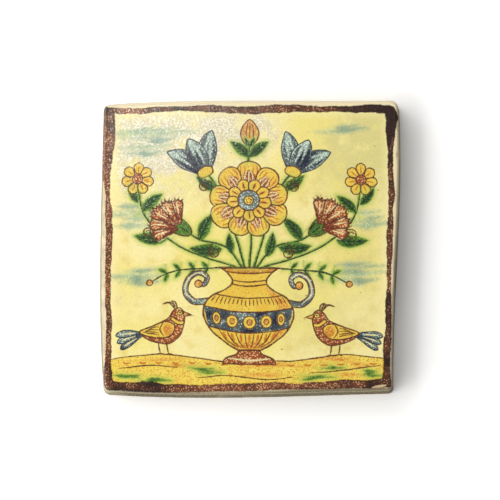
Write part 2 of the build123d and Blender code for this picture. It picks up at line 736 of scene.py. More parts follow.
@dataclass(frozen=True)
class Stem:
    """A green stem, thin at its tip."""

    points: Points
    width: float = 1.3

    def paint(self, brush: Brush) -> None:
        """Paints the stem in green, with a thin dark line down one side."""
        path = smooth_curve(self.points)
        brush.wash(ribbon(path, (self.width, self.width * 0.8)), Ink.GREEN, load=0.55, covers=False)
        brush.line(path + (0.28, 0), Pen.GREEN, 0.55, end=0.6)


@dataclass(frozen=True)
class Sprig:
    """A thin stem with small leaves in pairs and a berry at its tip."""

    points: Points
    leaf: Blade = Blade(5.4, 2.3, fullest=0.5, blunt=0.85)
    pairs: int = 4
    leaf_lean: float = 48.0
    berry_radius: float = 1.5

    def paint(self, brush: Brush) -> None:
        """Paints the sprig along its points."""
        path = smooth_curve(self.points)
        brush.line(path, Pen.GREEN, 0.75, end=0.6)
        for number in range(self.pairs):
            station = int(len(path) * (0.3 + 0.62 * number / self.pairs))
            ahead = path[min(station + 2, len(path) - 1)] - path[station - 1]
            heading = math.degrees(math.atan2(ahead[1], ahead[0])) - 90
            for side in (-1, 1):
                leaf = brush.moved(*path[station], heading + self.leaf_lean * side)
                leaf.wash(self.leaf.outline(), Ink.GREEN, load=0.35, covers=False)
                leaf.line(self.leaf.path(0, 0, 0.8), Pen.GREEN, 0.5, end=0.3)
        brush.fill(disc(*path[-1], self.berry_radius), Ink.ORANGE, load=0.6, width=0.5)


@dataclass(frozen=True)
class Bird:
    """A small perching bird that looks towards -X, with a granular body, a yellow wing and a blue tail."""

    body: Points = (
        (-11.6, 12.6), (-9.2, 15.6), (-6.2, 14.2), (-3.6, 10.4), (2.2, 7.2), (8.6, 4.4),
        (9.2, 1.2), (3.4, -1.6), (-3.4, -2.4), (-8.6, 1.2), (-11, 6.6),
    )
    wing: Points = (
        (-6.4, 7), (-2.4, 8.6), (4, 6.4), (11, 3.2), (4, 0.6), (-2.6, 0.8), (-6, 3.4),
    )
    beak: Points = ((-11, 13.8), (-15.2, 12.2), (-11.2, 11.2))
    collar: Points = ((-11.2, 8.4), (-8.6, 8.2), (-5, 10.6))
    feather: Blade = Blade(15, 3.4, fullest=0.7, blunt=0.6, bend=-20)
    feather_turns: tuple[float, ...] = (-112, -98, -84)

    def paint(self, brush: Brush) -> None:
        """Paints the bird, tail first."""
        for turn in self.feather_turns:
            self._paint_feather(brush.moved(7.6, 2.6, turn))
        self._paint_legs(brush)
        brush.fill(smooth_curve(self.body, closed=True), Ink.RUST, load=0.5)
        self._paint_head(brush)
        self._paint_wing(brush)

    def _paint_feather(self, brush: Brush) -> None:
        """Paints one long feather of the tail."""
        brush.wash(self.feather.outline(), Ink.BLUE, load=0.7)
        brush.line(self.feather.path(0, 0.35, 0.85), Pen.GLAZE, 0.7, end=0.3)
        brush.contour(self.feather.outline(), 0.5, Pen.BLUE)

    def _paint_legs(self, brush: Brush) -> None:
        """Paints two thin legs with toes."""
        for x in (-2.6, 1.6):
            brush.curve([(x, -1.6), (x - 0.2, -4.6), (x - 0.8, -7.4)], Pen.BROWN, 0.7)
            brush.curve([(x - 3, -7.9), (x - 0.8, -7.4), (x + 1.2, -8)], Pen.BROWN, 0.6)

    def _paint_head(self, brush: Brush) -> None:
        """Paints the beak, the eye, the collar and the crest."""
        brush.fill(np.array(self.beak), Ink.ORANGE, load=0.6, width=0.5)
        brush.fill(ellipse(-9.4, 13, 1.25, 1.15), Ink.YELLOW, load=0.1, width=0.4)
        brush.line(np.array([(-9.6, 13), (-9.2, 13.1)]), Pen.BROWN, 0.9, end=0.8)
        collar = ribbon(smooth_curve(self.collar), (1.7, 1.9, 1.7))
        brush.fill(collar, Ink.YELLOW, load=0.6, width=0.5)
        for lean in (0, 1.6, 3.2):
            tip = (-5.4 + lean * 1.4, 19.2 - lean * 0.6)
            brush.curve([(-8.2 + lean * 0.4, 15.2), (-7.4 + lean, 18.2), tip], Pen.BROWN, 0.8, end=0.5)

    def _paint_wing(self, brush: Brush) -> None:
        """Paints the folded wing with its rows of feathers."""
        wing = smooth_curve(self.wing, closed=True)
        brush.wash(wing, Ink.YELLOW, load=0.5)
        brush.wash(ellipse(-3.4, 4.6, 2.4, 3), Ink.ORANGE, load=0.6, covers=False)
        brush.curve([(-1, 8), (0.6, 4.6), (-1.4, 1)], Pen.BROWN, 0.55)
        for height in (6, 4.5, 3, 1.8):
            start = (1.2, height)
            end = (9.6 - abs(height - 3.2) * 1.1, 3.1 + (height - 3.2) * 0.42)
            middle = ((start[0] + end[0]) / 2, (start[1] + end[1]) / 2 + 0.5)
            brush.curve([start, middle, end], Pen.BROWN, 0.5, end=0.4)
        brush.contour(wing)


@dataclass(frozen=True)
class Vase:
    """A two-handled vase on a foot, painted in yellow with a granular blue belt."""

    half_profile: Points = (
        (5.6, -53.6), (10.5, -51), (18, -45), (22, -38.5), (22.4, -32.5), (19, -26.6),
        (12.4, -22.8), (9, -20), (8.8, -17), (11.6, -13.6), (14.6, -11.6),
    )
    foot: Points = ((5.4, -53.8), (6.6, -55.8), (12.2, -58.4), (13.4, -60.8))
    handle: Points = (
        (19.6, -29), (27, -29.6), (31.6, -24.6), (30.4, -17.6), (25.4, -14.4), (21.2, -16.6),
        (22.4, -20.4), (25.4, -20.2),
    )
    side_shade: Points = (
        (8.5, -21), (15, -25.6), (20.4, -31), (20.8, -39), (15.6, -46.4), (8.4, -51.2),
        (14.4, -42), (15.4, -33),
    )
    root_shade: Points = ((-9, -51.6), (0, -53.4), (9, -51.6), (4.6, -49.6), (-4.6, -49.6))
    belt_low: float = -42.0
    belt_high: float = -31.6
    belt_sag: float = 2.6
    medallions: Points = ((-16.2, 2), (-8.6, 2.9), (0, 3.2), (8.6, 2.9), (16.2, 2))
    ribs: tuple[float, ...] = (-15.2, -11.2, -6.8, -2.2, 2.4, 6.9, 11.2, 15.2)
    flutes: tuple[float, ...] = (-13.2, -9, -4.5, 0.1, 4.6, 9, 13.2)
    neck_rings: Points = ((-25.2, 1.4), (-19.6, 0.9), (-17.6, 0.8), (-13.4, 0.9))

    @staticmethod
    def _both(half: Array) -> Array:
        """Closes a right-hand profile, which runs upwards, with its mirror image."""
        return np.vstack([half, half[::-1] * (-1, 1)])

    @staticmethod
    def _lift(x: float) -> float:
        """Returns how far the belt rises towards the vase's sides, as seen from above."""
        return 2.4 * (x / 20) ** 2

    def _half_width(self, height: float) -> float:
        """Returns the body's half-width at a height."""
        profile = smooth_curve(self.half_profile)
        return float(np.interp(height, profile[:, 1], profile[:, 0]))

    def _arc(self, height: float, sag: float) -> Array:
        """Returns a line round the body at a height, which sags in the middle as seen from above."""
        half = self._half_width(height)
        marks = ((-1, 0), (-0.5, 0.75), (0, 1), (0.5, 0.75), (1, 0))
        return smooth_curve([(half * across, height - sag * drop) for across, drop in marks])

    def paint(self, brush: Brush) -> None:
        """Paints the handles, the foot and then the body."""
        for side in (brush, brush.twin()):
            self._paint_handle(side)
        self._paint_foot(brush)
        body = self._both(smooth_curve(self.half_profile))
        brush.wash(body, Ink.YELLOW, load=0.5)
        for shade, load in ((self.side_shade, 0.5), (self.root_shade, 0.6)):
            brush.wash(smooth_curve(shade, closed=True), Ink.ORANGE, load, covers=False)
        self._paint_belt(brush)
        self._paint_gadroons(brush)
        self._paint_neck(brush)
        brush.contour(body, 0.75)

    def _paint_handle(self, brush: Brush) -> None:
        """Paints one scrolled handle."""
        band = ribbon(smooth_curve(self.handle), (3, 2.9, 2.6, 2.4, 2))
        brush.wash(band, Ink.BLUE, load=0.68)
        brush.curve(self.handle[1:6], Pen.GLAZE, 0.7, end=0.3)
        brush.contour(band, 0.55)
        brush.fill(disc(*self.handle[-1], 1.9), Ink.ORANGE, load=0.6, width=0.55)

    def _paint_foot(self, brush: Brush) -> None:
        """Paints the spread foot."""
        brush.fill(self._both(smooth_curve(self.foot)[::-1]), Ink.RUST, load=0.5, width=0.65)
        brush.curve([(-10.4, -58), (0, -58.9), (10.4, -58)], Pen.GLAZE, 0.8, end=0.4)

    def _paint_belt(self, brush: Brush) -> None:
        """Paints the blue belt with its row of medallions."""
        low = self._arc(self.belt_low, self.belt_sag)
        high = self._arc(self.belt_high, 2.2)
        brush.wash(np.vstack([low, high[::-1]]), Ink.BLUE, load=0.8)
        for edge in (low, high):
            brush.line(edge, Pen.BROWN, 0.65, end=0.8)
        middle = (self.belt_low + self.belt_high) / 2 - 2.3
        for x, half_width in self.medallions:
            y = middle + self._lift(x)
            brush.fill(ellipse(x, y, half_width, 3.3), Ink.YELLOW, load=0.45, width=0.55)
            brush.fill(ellipse(x, y, half_width * 0.42, 1.5), Ink.ORANGE, load=0.7, width=0.4)

    def _paint_gadroons(self, brush: Brush) -> None:
        """Draws the fluting between the belt and the foot."""
        for x in self.ribs:
            top = self.belt_low - self.belt_sag + self._lift(x) - 0.3
            rib = [(x, top), (x * 0.74, (top - 52.6) / 2 - 0.6), (x * 0.36, -52.4)]
            brush.curve(rib, Pen.BROWN, 0.55, end=0.5)
        for x in self.flutes:
            top = self.belt_low - 3.0 + self._lift(x)
            brush.curve([(x, top - 0.6), (x * 0.84, top - 4.6)], Pen.ORANGE, 1.1, end=0.3)

    def _paint_neck(self, brush: Brush) -> None:
        """Draws the fringe on the shoulder, the rings on the neck and the rim."""
        half = self._half_width(-25.8)
        for share in np.linspace(-0.92, 0.92, 19):
            x = share * half
            top = -25.6 - 1.4 * (1 - share**2)
            tip = (x * 1.13, top - 3.4 - 0.5 * math.cos(9 * share))
            brush.curve([(x, top), (x * 1.08, top - 1.9), tip], Pen.BROWN, 0.5, end=0.35)
        for height, sag in self.neck_rings:
            brush.line(self._arc(height, sag), Pen.BROWN, 0.6, end=0.7)
        rim = np.vstack([self._arc(-13.6, 0.9), self._arc(-11.7, 0.6)[::-1]])
        brush.wash(rim, Ink.ORANGE, load=0.6, covers=False)


@dataclass(frozen=True)
class Ground:
    """The strip of ground under the vase and the birds, which runs into the edge stripe.

    Each stroke has a middle, a half-width and a half-height.
    """

    top: Points = (
        (-73, -59.6), (-60, -57.8), (-44, -56.6), (-28, -58.4), (-12, -59.8), (6, -59.2),
        (22, -59), (36, -57.2), (48, -56.2), (60, -57.6), (73, -58.8),
    )
    bottom: float = -76.0
    orange_strokes: Rows = (
        (-40, -59.4, 15, 0.9), (-30, -62.6, 10, 1), (16, -61.4, 17, 1.1),
        (46, -58.6, 12, 1), (58, -61.6, 9, 0.9), (6, -66.4, 13, 1.1), (50, -66.8, 8, 0.9),
    )
    green_strokes: Rows = (
        (-60, -67.4, 7, 1.6), (-47, -68.8, 8, 1.3), (-19, -64.8, 9, 1.2),
        (32, -67.6, 8, 1.3), (43, -63, 6, 1), (63, -65.6, 5, 1.5),
    )
    furrows: tuple[Points, ...] = (
        ((-66, -63.8), (-50, -62.4), (-36, -63.4)),
        ((-26, -68.4), (-10, -66.8), (8, -68.6), (22, -67.4)),
        ((30, -65.2), (46, -64.2), (66, -62)),
    )
    tuft_pitch: float = 8.3

    def paint(self, brush: Brush) -> None:
        """Paints the ground in yellow with sideways strokes, furrows and tufts over it."""
        top = smooth_curve(self.top)
        floor = [(self.top[-1][0], self.bottom), (self.top[0][0], self.bottom)]
        brush.wash(np.vstack([top, floor]), Ink.YELLOW, load=0.25)
        for stroke in self.orange_strokes:
            self._paint_stroke(brush, Ink.ORANGE, 0.3, stroke)
        for stroke in self.green_strokes:
            self._paint_stroke(brush, Ink.GREEN, 0.22, stroke)
        brush.line(top, Pen.BROWN, 0.6, end=0.6)
        for furrow in self.furrows:
            brush.curve(furrow, Pen.BROWN, 0.55)
        for x in np.arange(-64, 66, self.tuft_pitch):
            brush.curve([(x, -60.8), (x + 1.8, -61.4), (x + 3.8, -61)], Pen.ORANGE, 0.8, end=0.3)

    @staticmethod
    def _paint_stroke(brush: Brush, ink: Ink, load: float, stroke: Row) -> None:
        """Goes three times over one stroke, each time shorter and fuller.

        Args:
            brush: The brush over the ground.
            ink: The pigment.
            load: How thick the longest pass lies.
            stroke: The stroke's middle, half-width and half-height.
        """
        x, y, half_width, half_height = stroke
        for share in (1, 0.7, 0.5):
            reach = share * half_width
            shift, rise, sag = brush.hand.normal(0, (0.3 * half_width, 0.6 * half_height, 0.5))
            start, end = (x + shift - reach, y + rise + sag), (x + shift + reach, y + rise - sag)
            path = smooth_curve([start, (x + shift, y + rise), end])
            widths = (0.1, 1.2 * half_height, 0.6 * half_height, 0.1)
            brush.shade(path, widths, ink, load + 0.5 * (1 - share))


@dataclass(frozen=True)
class Haze:
    """Banks of pale blue-green haze, brushed sideways with a wet brush.

    Each bank has a middle, a half-width, a half-height and a number of strokes.
    """

    banks: tuple[tuple[float, float, float, float, int], ...] = (
        (-49, 54, 18, 6.5, 9), (-58, 15, 12, 6.5, 8), (48, 60, 13, 3, 5),
        (59, 14, 10, 5, 6), (-55, -16, 13, 5.5, 8), (54, -15, 14, 5.5, 8),
    )

    def paint(self, brush: Brush) -> None:
        """Paints each bank, longest strokes first."""
        for x, y, half_width, half_height, count in self.banks:
            for number in range(count):
                reach = half_width * (1 - 0.55 * number / count) * brush.hand.uniform(0.75, 1.05)
                shift = brush.hand.uniform(-0.35, 0.35) * half_width
                rise = brush.hand.uniform(-1, 1) * half_height
                swell = brush.hand.uniform(0.5, 1.6)
                start, end = (x + shift - reach, y + rise), (x + shift + reach, y + rise + swell)
                path = smooth_curve([start, (x + shift, y + rise + 0.2), end])
                load = 0.35 + 0.6 * number / count
                brush.shade(path, (0.2, 3.0 * swell, 2, 0.2), Ink.TURQUOISE, load)


@dataclass(frozen=True)
class Scroll:
    """A thin tendril that curls up at its end."""

    turns: float = 1.3
    radius: float = 3.4

    def paint(self, brush: Brush) -> None:
        """Paints the tendril from the brush's place along +Y."""
        turn = np.linspace(0, self.turns * 2 * np.pi, int(26 * self.turns))
        reach = self.radius * (1 - 0.72 * turn / turn[-1])
        curl = np.column_stack([self.radius - reach * np.cos(turn), self.radius * 1.6 + reach * np.sin(turn)])
        root = smooth_curve([(0.6, 0), (-0.2, self.radius * 0.8), curl[0]])
        brush.line(np.vstack([root[:-1], curl]), Pen.BROWN, 0.6, end=0.6)


@dataclass(frozen=True)
class Bouquet:
    """The whole painting inside the edge stripe: a vase of flowers between two birds.

    Stems, leaves and scrolls are those of the right-hand half. Each leaf and scroll has a root, a turn and a
    size.
    """

    stems: tuple[Stem, ...] = (
        Stem(((3, -12), (12, -1), (25, 3), (32, 7))),
        Stem(((2, -12), (8, 8), (16, 30), (22, 38))),
        Stem(((4, -12), (20, -7), (38, 1), (52, 14), (56.5, 30)), width=1),
    )
    middle_stem: Stem = Stem(((0, -12), (0.6, 4), (0, 20), (-0.4, 44), (0, 54)))
    leaves: Rows = (
        (8.5, -5, -20, 0.75), (14, -1, -92, 1.05), (26.5, 3.4, 16, 0.9), (16, 29, -66, 0.85),
        (43, 4, -104, 1), (53.5, 17, 34, 0.8), (55.5, 22, -42, 0.7),
    )
    scrolls: Rows = ((19, 1.6, -150, 0.85), (18.4, 33, -96, 0.8), (46.5, 7.6, -76, 0.8))
    sprig: Sprig = Sprig(((8, -11), (22, -12), (38, -13.6), (50, -20)))
    bird_at: Placement = Placement(44, -48.8, 0, 1.02)
    speck_count: int = 26

    def paint(self, canvas: Canvas) -> None:
        """Paints from the back to the front."""
        brush = Brush(canvas)
        Haze().paint(brush)
        Ground().paint(brush)
        self.middle_stem.paint(brush)
        for half in (brush, brush.twin()):
            self._paint_side(half)
        self._paint_middle(brush)
        Vase().paint(brush)
        for at in (self.bird_at, self.bird_at.twin()):
            Bird().paint(Brush(canvas, at))
        self._paint_specks(brush)

    def _paint_side(self, brush: Brush) -> None:
        """Paints the stems, leaves and flowers of one side."""
        for stem in self.stems:
            stem.paint(brush)
        for x, y, turn, size in self.leaves:
            hand = brush.hand.normal(0, (0.6, 0.6, 5, 0.05))
            Leaf().paint(brush.moved(x + hand[0], y + hand[1], turn + hand[2], size + hand[3]))
        for x, y, turn, size in self.scrolls:
            Scroll().paint(brush.moved(x, y, turn + brush.hand.normal(0, 6), size))
        self.sprig.paint(brush)
        Carnation().paint(brush.moved(31, 6.6, -56 + brush.hand.normal(0, 3), 1.22))
        Tulip().paint(brush.moved(21.6, 37, -26 + brush.hand.normal(0, 3), 1.3))
        Daisy().paint(brush.moved(56.6, 34.5, 0, 1.25))

    def _paint_middle(self, brush: Brush) -> None:
        """Paints the big flower and the bud above it."""
        for turn in (40, -40):
            shape = Blade(13, 5.6, fullest=0.45, blunt=0.85, bend=turn / 2)
            Leaf(shape).paint(brush.moved(0, 46, turn))
        Bud().paint(brush.moved(0, 52, 0, 1.1))
        Rosette().paint(brush.moved(0, 23.5, 0, 1.04))

    def _paint_specks(self, brush: Brush) -> None:
        """Drops a few stray specks of pigment on the glaze."""
        for _ in range(self.speck_count):
            x, y = brush.hand.uniform(-66, 66, 2)
            speck = np.array([[x, y], [x + brush.hand.uniform(0.1, 0.4), y + 0.1]])
            brush.line(speck, Pen.BROWN, float(brush.hand.uniform(0.3, 0.7)), end=0.9)


@dataclass(frozen=True)
class EdgeStripe:
    """The uneven brown stripe along the tile's edge.

    Each side is a row of stations from one corner to the next, anticlockwise from the left-hand bottom
    corner: how far along the side, how far the stripe's outer edge lies in from the tile's outline, how
    wide the stripe is and how thick the pigment lies. Along is a share of the side, and the rest but the
    pigment is in millimetres.
    """

    bottom: Rows = (
        (0, 0.2, 5.4, 0.94), (0.05, 0.5, 4.6, 0.94), (0.09, 0.7, 4.4, 0.9), (0.14, 0.5, 5.4, 0.98),
        (0.2, 0.6, 4.8, 1), (0.26, 0.8, 4.2, 0.64), (0.34, 1.2, 3.5, 0.54), (0.42, 1.4, 3.9, 0.56),
        (0.5, 1.4, 4.1, 0.62), (0.57, 1.7, 4.1, 0.56), (0.65, 1.7, 3, 0.5), (0.73, 1.4, 3.9, 0.58),
        (0.8, 1.2, 4.3, 0.7), (0.88, 1.1, 4.2, 0.76), (0.95, 1.4, 4.5, 0.86), (1, 1.2, 5.2, 0.88),
    )
    right: Rows = (
        (0, 1.2, 5.2, 0.88), (0.055, 1.7, 3.5, 0.9), (0.1, 1.8, 3.6, 0.92), (0.15, 1.5, 3.8, 0.9),
        (0.2, 1.6, 3, 0.92), (0.26, 1.7, 3.2, 0.9), (0.31, 2, 2.6, 0.82), (0.36, 2.5, 1.8, 0.7),
        (0.41, 2.9, 2, 0.7), (0.52, 2.7, 3.3, 0.74), (0.62, 3.4, 2.3, 0.68), (0.67, 2.6, 3.2, 0.72),
        (0.75, 3.9, 2.7, 0.8), (0.82, 3.7, 2.7, 0.86), (0.88, 2.6, 5, 1), (0.915, 1.7, 5.5, 1.3),
        (0.935, 0.9, 6, 1.4), (0.955, 1.7, 6.3, 1.4), (0.975, 3.1, 5.3, 1.4), (1, 3.9, 4.6, 1.4),
    )
    top: Rows = (
        (0, 3.9, 4.6, 1.4), (0.03, 3.5, 4.8, 1.4), (0.07, 3, 4.3, 1.1), (0.11, 2.7, 4.3, 0.94),
        (0.16, 3.7, 3.3, 0.88), (0.26, 3.6, 3, 0.82), (0.36, 2.9, 3.9, 0.82), (0.41, 2.8, 4.3, 0.82),
        (0.47, 4, 3.9, 0.72), (0.57, 3.7, 3.7, 0.72), (0.62, 2.9, 3.7, 0.76), (0.67, 3.3, 3.2, 0.8),
        (0.72, 3.5, 2.6, 0.82), (0.78, 3.3, 2.9, 0.78), (0.83, 3.2, 2.8, 0.64), (0.87, 3.6, 3.2, 0.42),
        (0.92, 3.5, 3.3, 0.42), (0.965, 2.8, 3, 0.7), (0.985, 2.5, 3.4, 0.76), (1, 1.7, 4.8, 0.82),
    )
    left: Rows = (
        (0, 1.7, 4.8, 0.82), (0.02, 0.8, 5.4, 0.82), (0.05, 0.6, 5.7, 0.8), (0.11, -0.2, 6.4, 0.7),
        (0.18, -0.6, 6.6, 0.66), (0.24, -0.1, 5.4, 0.66), (0.285, 1.4, 3.2, 0.6), (0.33, 2.7, 2, 0.6),
        (0.38, 2.3, 3.6, 0.62), (0.43, 2.9, 3.6, 0.58), (0.54, 2.8, 3.2, 0.56), (0.65, 2.9, 2.9, 0.5),
        (0.76, 3.1, 2.7, 0.62), (0.84, 2.7, 2.9, 0.7), (0.9, 1.8, 3.3, 0.76), (0.94, 0.6, 4.1, 0.86),
        (1, 0.2, 5.4, 0.94),
    )

    def _round(self, column: int, turn: Array) -> Array:
        """Reads one column of the stations.

        Args:
            column: 1 for the outer edge, 2 for the width and 3 for the pigment.
            turn: How far round the tile, from 0 to 4, a side at a time.

        Returns:
            The value at each turn.
        """
        sides = enumerate((self.bottom, self.right, self.top, self.left))
        stations = np.array([(side + row[0], row[column]) for side, rows in sides for row in rows])
        return np.interp(turn, stations[:, 0] + 1e-6 * np.arange(len(stations)), stations[:, 1])

    def paint(self, canvas: Canvas, inset: Array, turn: Array) -> None:
        """Lays the stripe, and keeps the rest of the painting inside it.

        Args:
            canvas: What it is painted on.
            inset: How far in from the tile's outline each vertex lies, in millimetres.
            turn: How far round the tile each vertex lies, from 0 to 4.
        """
        waver = 0.28 * SmoothNoise(41, 6).at(canvas.places) + 0.16 * SmoothNoise(43, 2.2).at(canvas.places)
        outer = self._round(1, turn) + 0.6 * waver
        width = self._round(2, turn) + waver
        depth = np.minimum(inset - outer, outer + width - inset)
        within = inset - outer - 0.6 * width
        for painted in canvas.washes.values():
            np.minimum(painted, 3 * within, out=painted)
        canvas.washes[Ink.STRIPE] = np.maximum(depth, -canvas.far)
        canvas.wipe(inset < outer + width - 0.3)
        share = np.clip(depth / 0.8 + 1, 0, 1)
        canvas.load += (self._round(3, turn) - canvas.load) * share


# The fired body


@dataclass(frozen=True)
class EdgeChip:
    """A place where the glaze has flaked off the edge, in millimetres on the face."""

    x: float
    y: float
    half_length: float
    half_width: float
    depth: float
    slant: float = 0.0

    def depth_inside(self, places: Array) -> Array:
        """Returns how far inside the chip each place lies, negative outside it."""
        turn = math.radians(self.slant)
        reach = places - (self.x, self.y)
        along = reach[:, 0] * math.cos(turn) + reach[:, 1] * math.sin(turn)
        across = reach[:, 1] * math.cos(turn) - reach[:, 0] * math.sin(turn)
        return (1 - np.hypot(along / self.half_length, across / self.half_width)) * self.half_width


@dataclass(frozen=True)
class KeyChannel:
    """A blind channel in the tile's back, which the mortar grips."""

    length: float
    width: float
    depth: float
    draft: float
    lip_radius: float
    straight_steps: int = 24
    end_steps: int = 10

    def levels(self) -> list[tuple[float, float]]:
        """Returns the half-width and height of each ring of the channel, from its lip to its floor."""
        half = self.width / 2
        draft = math.radians(self.draft)
        tangent = self.lip_radius * math.tan((math.pi / 2 - draft) / 2)
        middle_drop = self.lip_radius * (1 - math.cos((math.pi / 2 - draft) / 2))
        middle = half + tangent - self.lip_radius * math.sin((math.pi / 2 - draft) / 2)
        drop = tangent * math.cos(draft)
        floor = half - self.depth * math.tan(draft)
        wall = half - drop * math.tan(draft)
        return [(half + tangent, 0), (middle, middle_drop), (wall, drop), (floor, self.depth)]

    def ring(self, half: float) -> tuple[Array, Array]:
        """Draws the channel's outline at one half-width.

        Args:
            half: The half-width.

        Returns:
            The outline's points anticlockwise about the channel's middle, and for each the point of the
            channel's middle line that it belongs to.
        """
        reach = (self.length - self.width) / 2
        arc = np.linspace(-np.pi / 2, np.pi / 2, self.end_steps + 1)
        straight = np.linspace(reach, -reach, self.straight_steps + 1)[1:-1]
        right = np.column_stack([np.full(len(arc), reach), np.zeros(len(arc))])
        top = np.column_stack([straight, np.zeros(len(straight))])
        roots = np.vstack([right, top, -right, -top])
        right_way = np.column_stack([np.cos(arc), np.sin(arc)])
        up = np.tile([0, 1], (len(straight), 1))
        ways = np.vstack([right_way, up, -right_way, -up])
        return roots + ways * half, roots


class PointPile:
    """Groups of points, whose numbers go on from a first one."""

    def __init__(self, first: int) -> None:
        """Starts empty."""
        self.first = first
        self.groups: list[Array] = []

    def add(self, points: Array) -> Array:
        """Adds a group of points, and returns their numbers."""
        numbers = self.first + sum(map(len, self.groups)) + np.arange(len(points))
        self.groups.append(points)
        return numbers


@dataclass
class TileBody:
    """The fired body: one closed mesh that follows the CAD tile's skin, finest on its painted face."""

    cad_tile: bpy.types.Object
    cells: int = 256
    arris_radius: float = 1.6 * MM
    foot_radius: float = 0.6 * MM
    arris_steps: int = 6
    foot_steps: int = 3
    wall_heights: tuple[float, ...] = (8.2, 6.6, 5, 3.6, 2.7, 2.1, 1.6, 1.1)
    channel: KeyChannel = KeyChannel(122 * MM, 7 * MM, 1.3 * MM, 25, 0.4 * MM)
    channel_pitch: float = 21 * MM
    channel_pairs: int = 3
    land_pitch: float = 5 * MM
    low_level: float = 2.0 * MM
    high_level: float = 9.0 * MM
    glaze_line: float = 0.6
    # painted shade: how far in from the edge the darker arris colour reaches
    arris_shade_reach: float = 2.5
    edge_reach: float = 18.0  # how far in from the edge the insets are measured
    inner_inset: float = 20.0  # the inset noted further in
    # painted shade with thin glaze: by turn round the tile, how much darker colour lies over the arris and
    # walls, most along the bottom (front) and left edges, least along the top
    arris_shade_stations: Points = (
        (0, 0.35), (0.05, 0.45), (0.1, 0.85), (0.45, 0.6), (0.65, 0.95), (0.95, 0.9), (1.05, 0.2),
        (1.28, 0.25), (1.37, 0.75), (1.7, 0.25), (2, 0.14), (2.3, 0.12), (2.8, 0.18), (3.06, 0.4),
        (3.14, 0.82), (3.88, 0.82), (4, 0.35),
    )
    chips: tuple[EdgeChip, ...] = (
        EdgeChip(65, -72.2, 4.2, 0.62, 0.35, 9),
        EdgeChip(71.6, -70.4, 1.5, 0.6, 0.3, 60),
        EdgeChip(-72.6, -21, 1, 0.5, 0.3, 88),
        EdgeChip(75, 47, 1.7, 0.5, 0.3, 92),
    )
    quads: Array = field(init=False)
    points: Array = field(init=False)

    def __post_init__(self) -> None:
        """Reads the tile's thickness and makes the glazed skin."""
        low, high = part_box(self.cad_tile.name)
        self.thickness = high.z - low.z
        vertices = [v.co.copy() for v in self.cad_tile.data.vertices]
        faces = [tuple(f.vertices) for f in self.cad_tile.data.polygons]
        self.skin = BVHTree.FromPolygons(vertices, faces)
        self.square = self._square_border()
        self.low_outline = self._outline(self.low_level)
        self.high_outline = self._outline(self.high_level)
        self._make_glazed_skin()

    def _square_border(self) -> Array:
        """Returns the face grid's border on a square from -1 to 1, anticlockwise from its first corner."""
        step = np.linspace(-1, 1, self.cells, endpoint=False)
        one = np.ones(self.cells)
        bottom = np.column_stack([step, -one])
        right = np.column_stack([one, step])
        return np.vstack([bottom, right, -bottom, -right])

    def _outline(self, height: float) -> Array:
        """Finds where the CAD tile's wall stands at a height, along each direction of the square border."""
        found = []
        for x, y in self.square:
            hit, _, _, _ = self.skin.ray_cast(Vector((0, 0, height)), Vector((x, y, 0)).normalized())
            found.append((hit.x, hit.y))
        outline = np.array(found)
        neighbours = np.roll(outline, 1, axis=0) + np.roll(outline, -1, axis=0)
        return (2 * outline + neighbours) / 4

    def _wall(self, height: float) -> Array:
        """Returns the wall's outline at any height, from the two that were measured."""
        share = (height - self.low_level) / (self.high_level - self.low_level)
        return self.low_outline + (self.high_outline - self.low_outline) * share

    @staticmethod
    def _inward(outline: Array) -> Array:
        """Returns the inward direction at each point of an anticlockwise outline."""
        along = np.roll(outline, -1, axis=0) - np.roll(outline, 1, axis=0)
        along /= np.linalg.norm(along, axis=1)[:, None]
        return np.column_stack([-along[:, 1], along[:, 0]])

    def _rings(self) -> list[Array]:
        """Returns the rings of points from the face's border down the wall to the back's border."""
        rings = []
        crown = self.thickness - self.arris_radius
        crown_outline = self._wall(crown)
        inward = self._inward(crown_outline)
        for step in range(self.arris_steps + 1):
            turn = math.pi / 2 * (1 - step / self.arris_steps)
            inset = self.arris_radius * (1 - math.cos(turn))
            height = crown + self.arris_radius * math.sin(turn)
            rings.append(self._ring(crown_outline + inward * inset, height))
        for height in self.wall_heights:
            rings.append(self._ring(self._wall(height * MM), height * MM))
        foot_outline = self._wall(self.foot_radius)
        inward = self._inward(foot_outline)
        for step in range(self.foot_steps + 1):
            turn = math.pi / 2 * step / self.foot_steps
            inset = self.foot_radius * (1 - math.cos(turn))
            height = self.foot_radius * (1 - math.sin(turn))
            rings.append(self._ring(foot_outline + inward * inset, height))
        return rings

    @staticmethod
    def _ring(outline: Array, height: float) -> Array:
        """Lifts an outline to a height."""
        return np.column_stack([outline, np.full(len(outline), height)])

    def _face_grid(self, border: Array) -> Array:
        """Spreads a square grid over the face: even in the middle, and bent to the border at its edge."""
        step = np.linspace(-1, 1, self.cells + 1)
        u, v = np.meshgrid(step, step)
        u, v = u.ravel(), v.ravel()
        reach = np.maximum(np.abs(u), np.abs(v))
        safe = np.where(reach > 0, reach, 1)
        square_u, square_v = u / safe, v / safe
        side_turn = np.select(
            [square_v <= -1 + 1e-9, square_u >= 1 - 1e-9, square_v >= 1 - 1e-9],
            [(square_u + 1) / 2, 1 + (square_v + 1) / 2, 2 + (1 - square_u) / 2],
            3 + (1 - square_v) / 2,
        )
        self.grid_turn = np.mod(side_turn, 4)
        stations = np.arange(len(border) + 1) / self.cells
        loop = np.vstack([border, border[:1]])
        edge = np.column_stack([np.interp(self.grid_turn, stations, loop[:, axis]) for axis in (0, 1)])
        half = float(np.abs(border).max(1).mean())
        square = np.column_stack([square_u, square_v]) * half
        return np.column_stack([u, v]) * half + (edge - square) * (reach**4)[:, None]

    def _border_numbers(self) -> Array:
        """Returns the face grid's border vertices, anticlockwise from its first corner."""
        row = self.cells + 1
        last = self.cells
        bottom = np.arange(self.cells)
        right = last + row * np.arange(self.cells)
        top = last * row + last - np.arange(self.cells)
        left = row * (last - np.arange(self.cells))
        return np.concatenate([bottom, right, top, left])

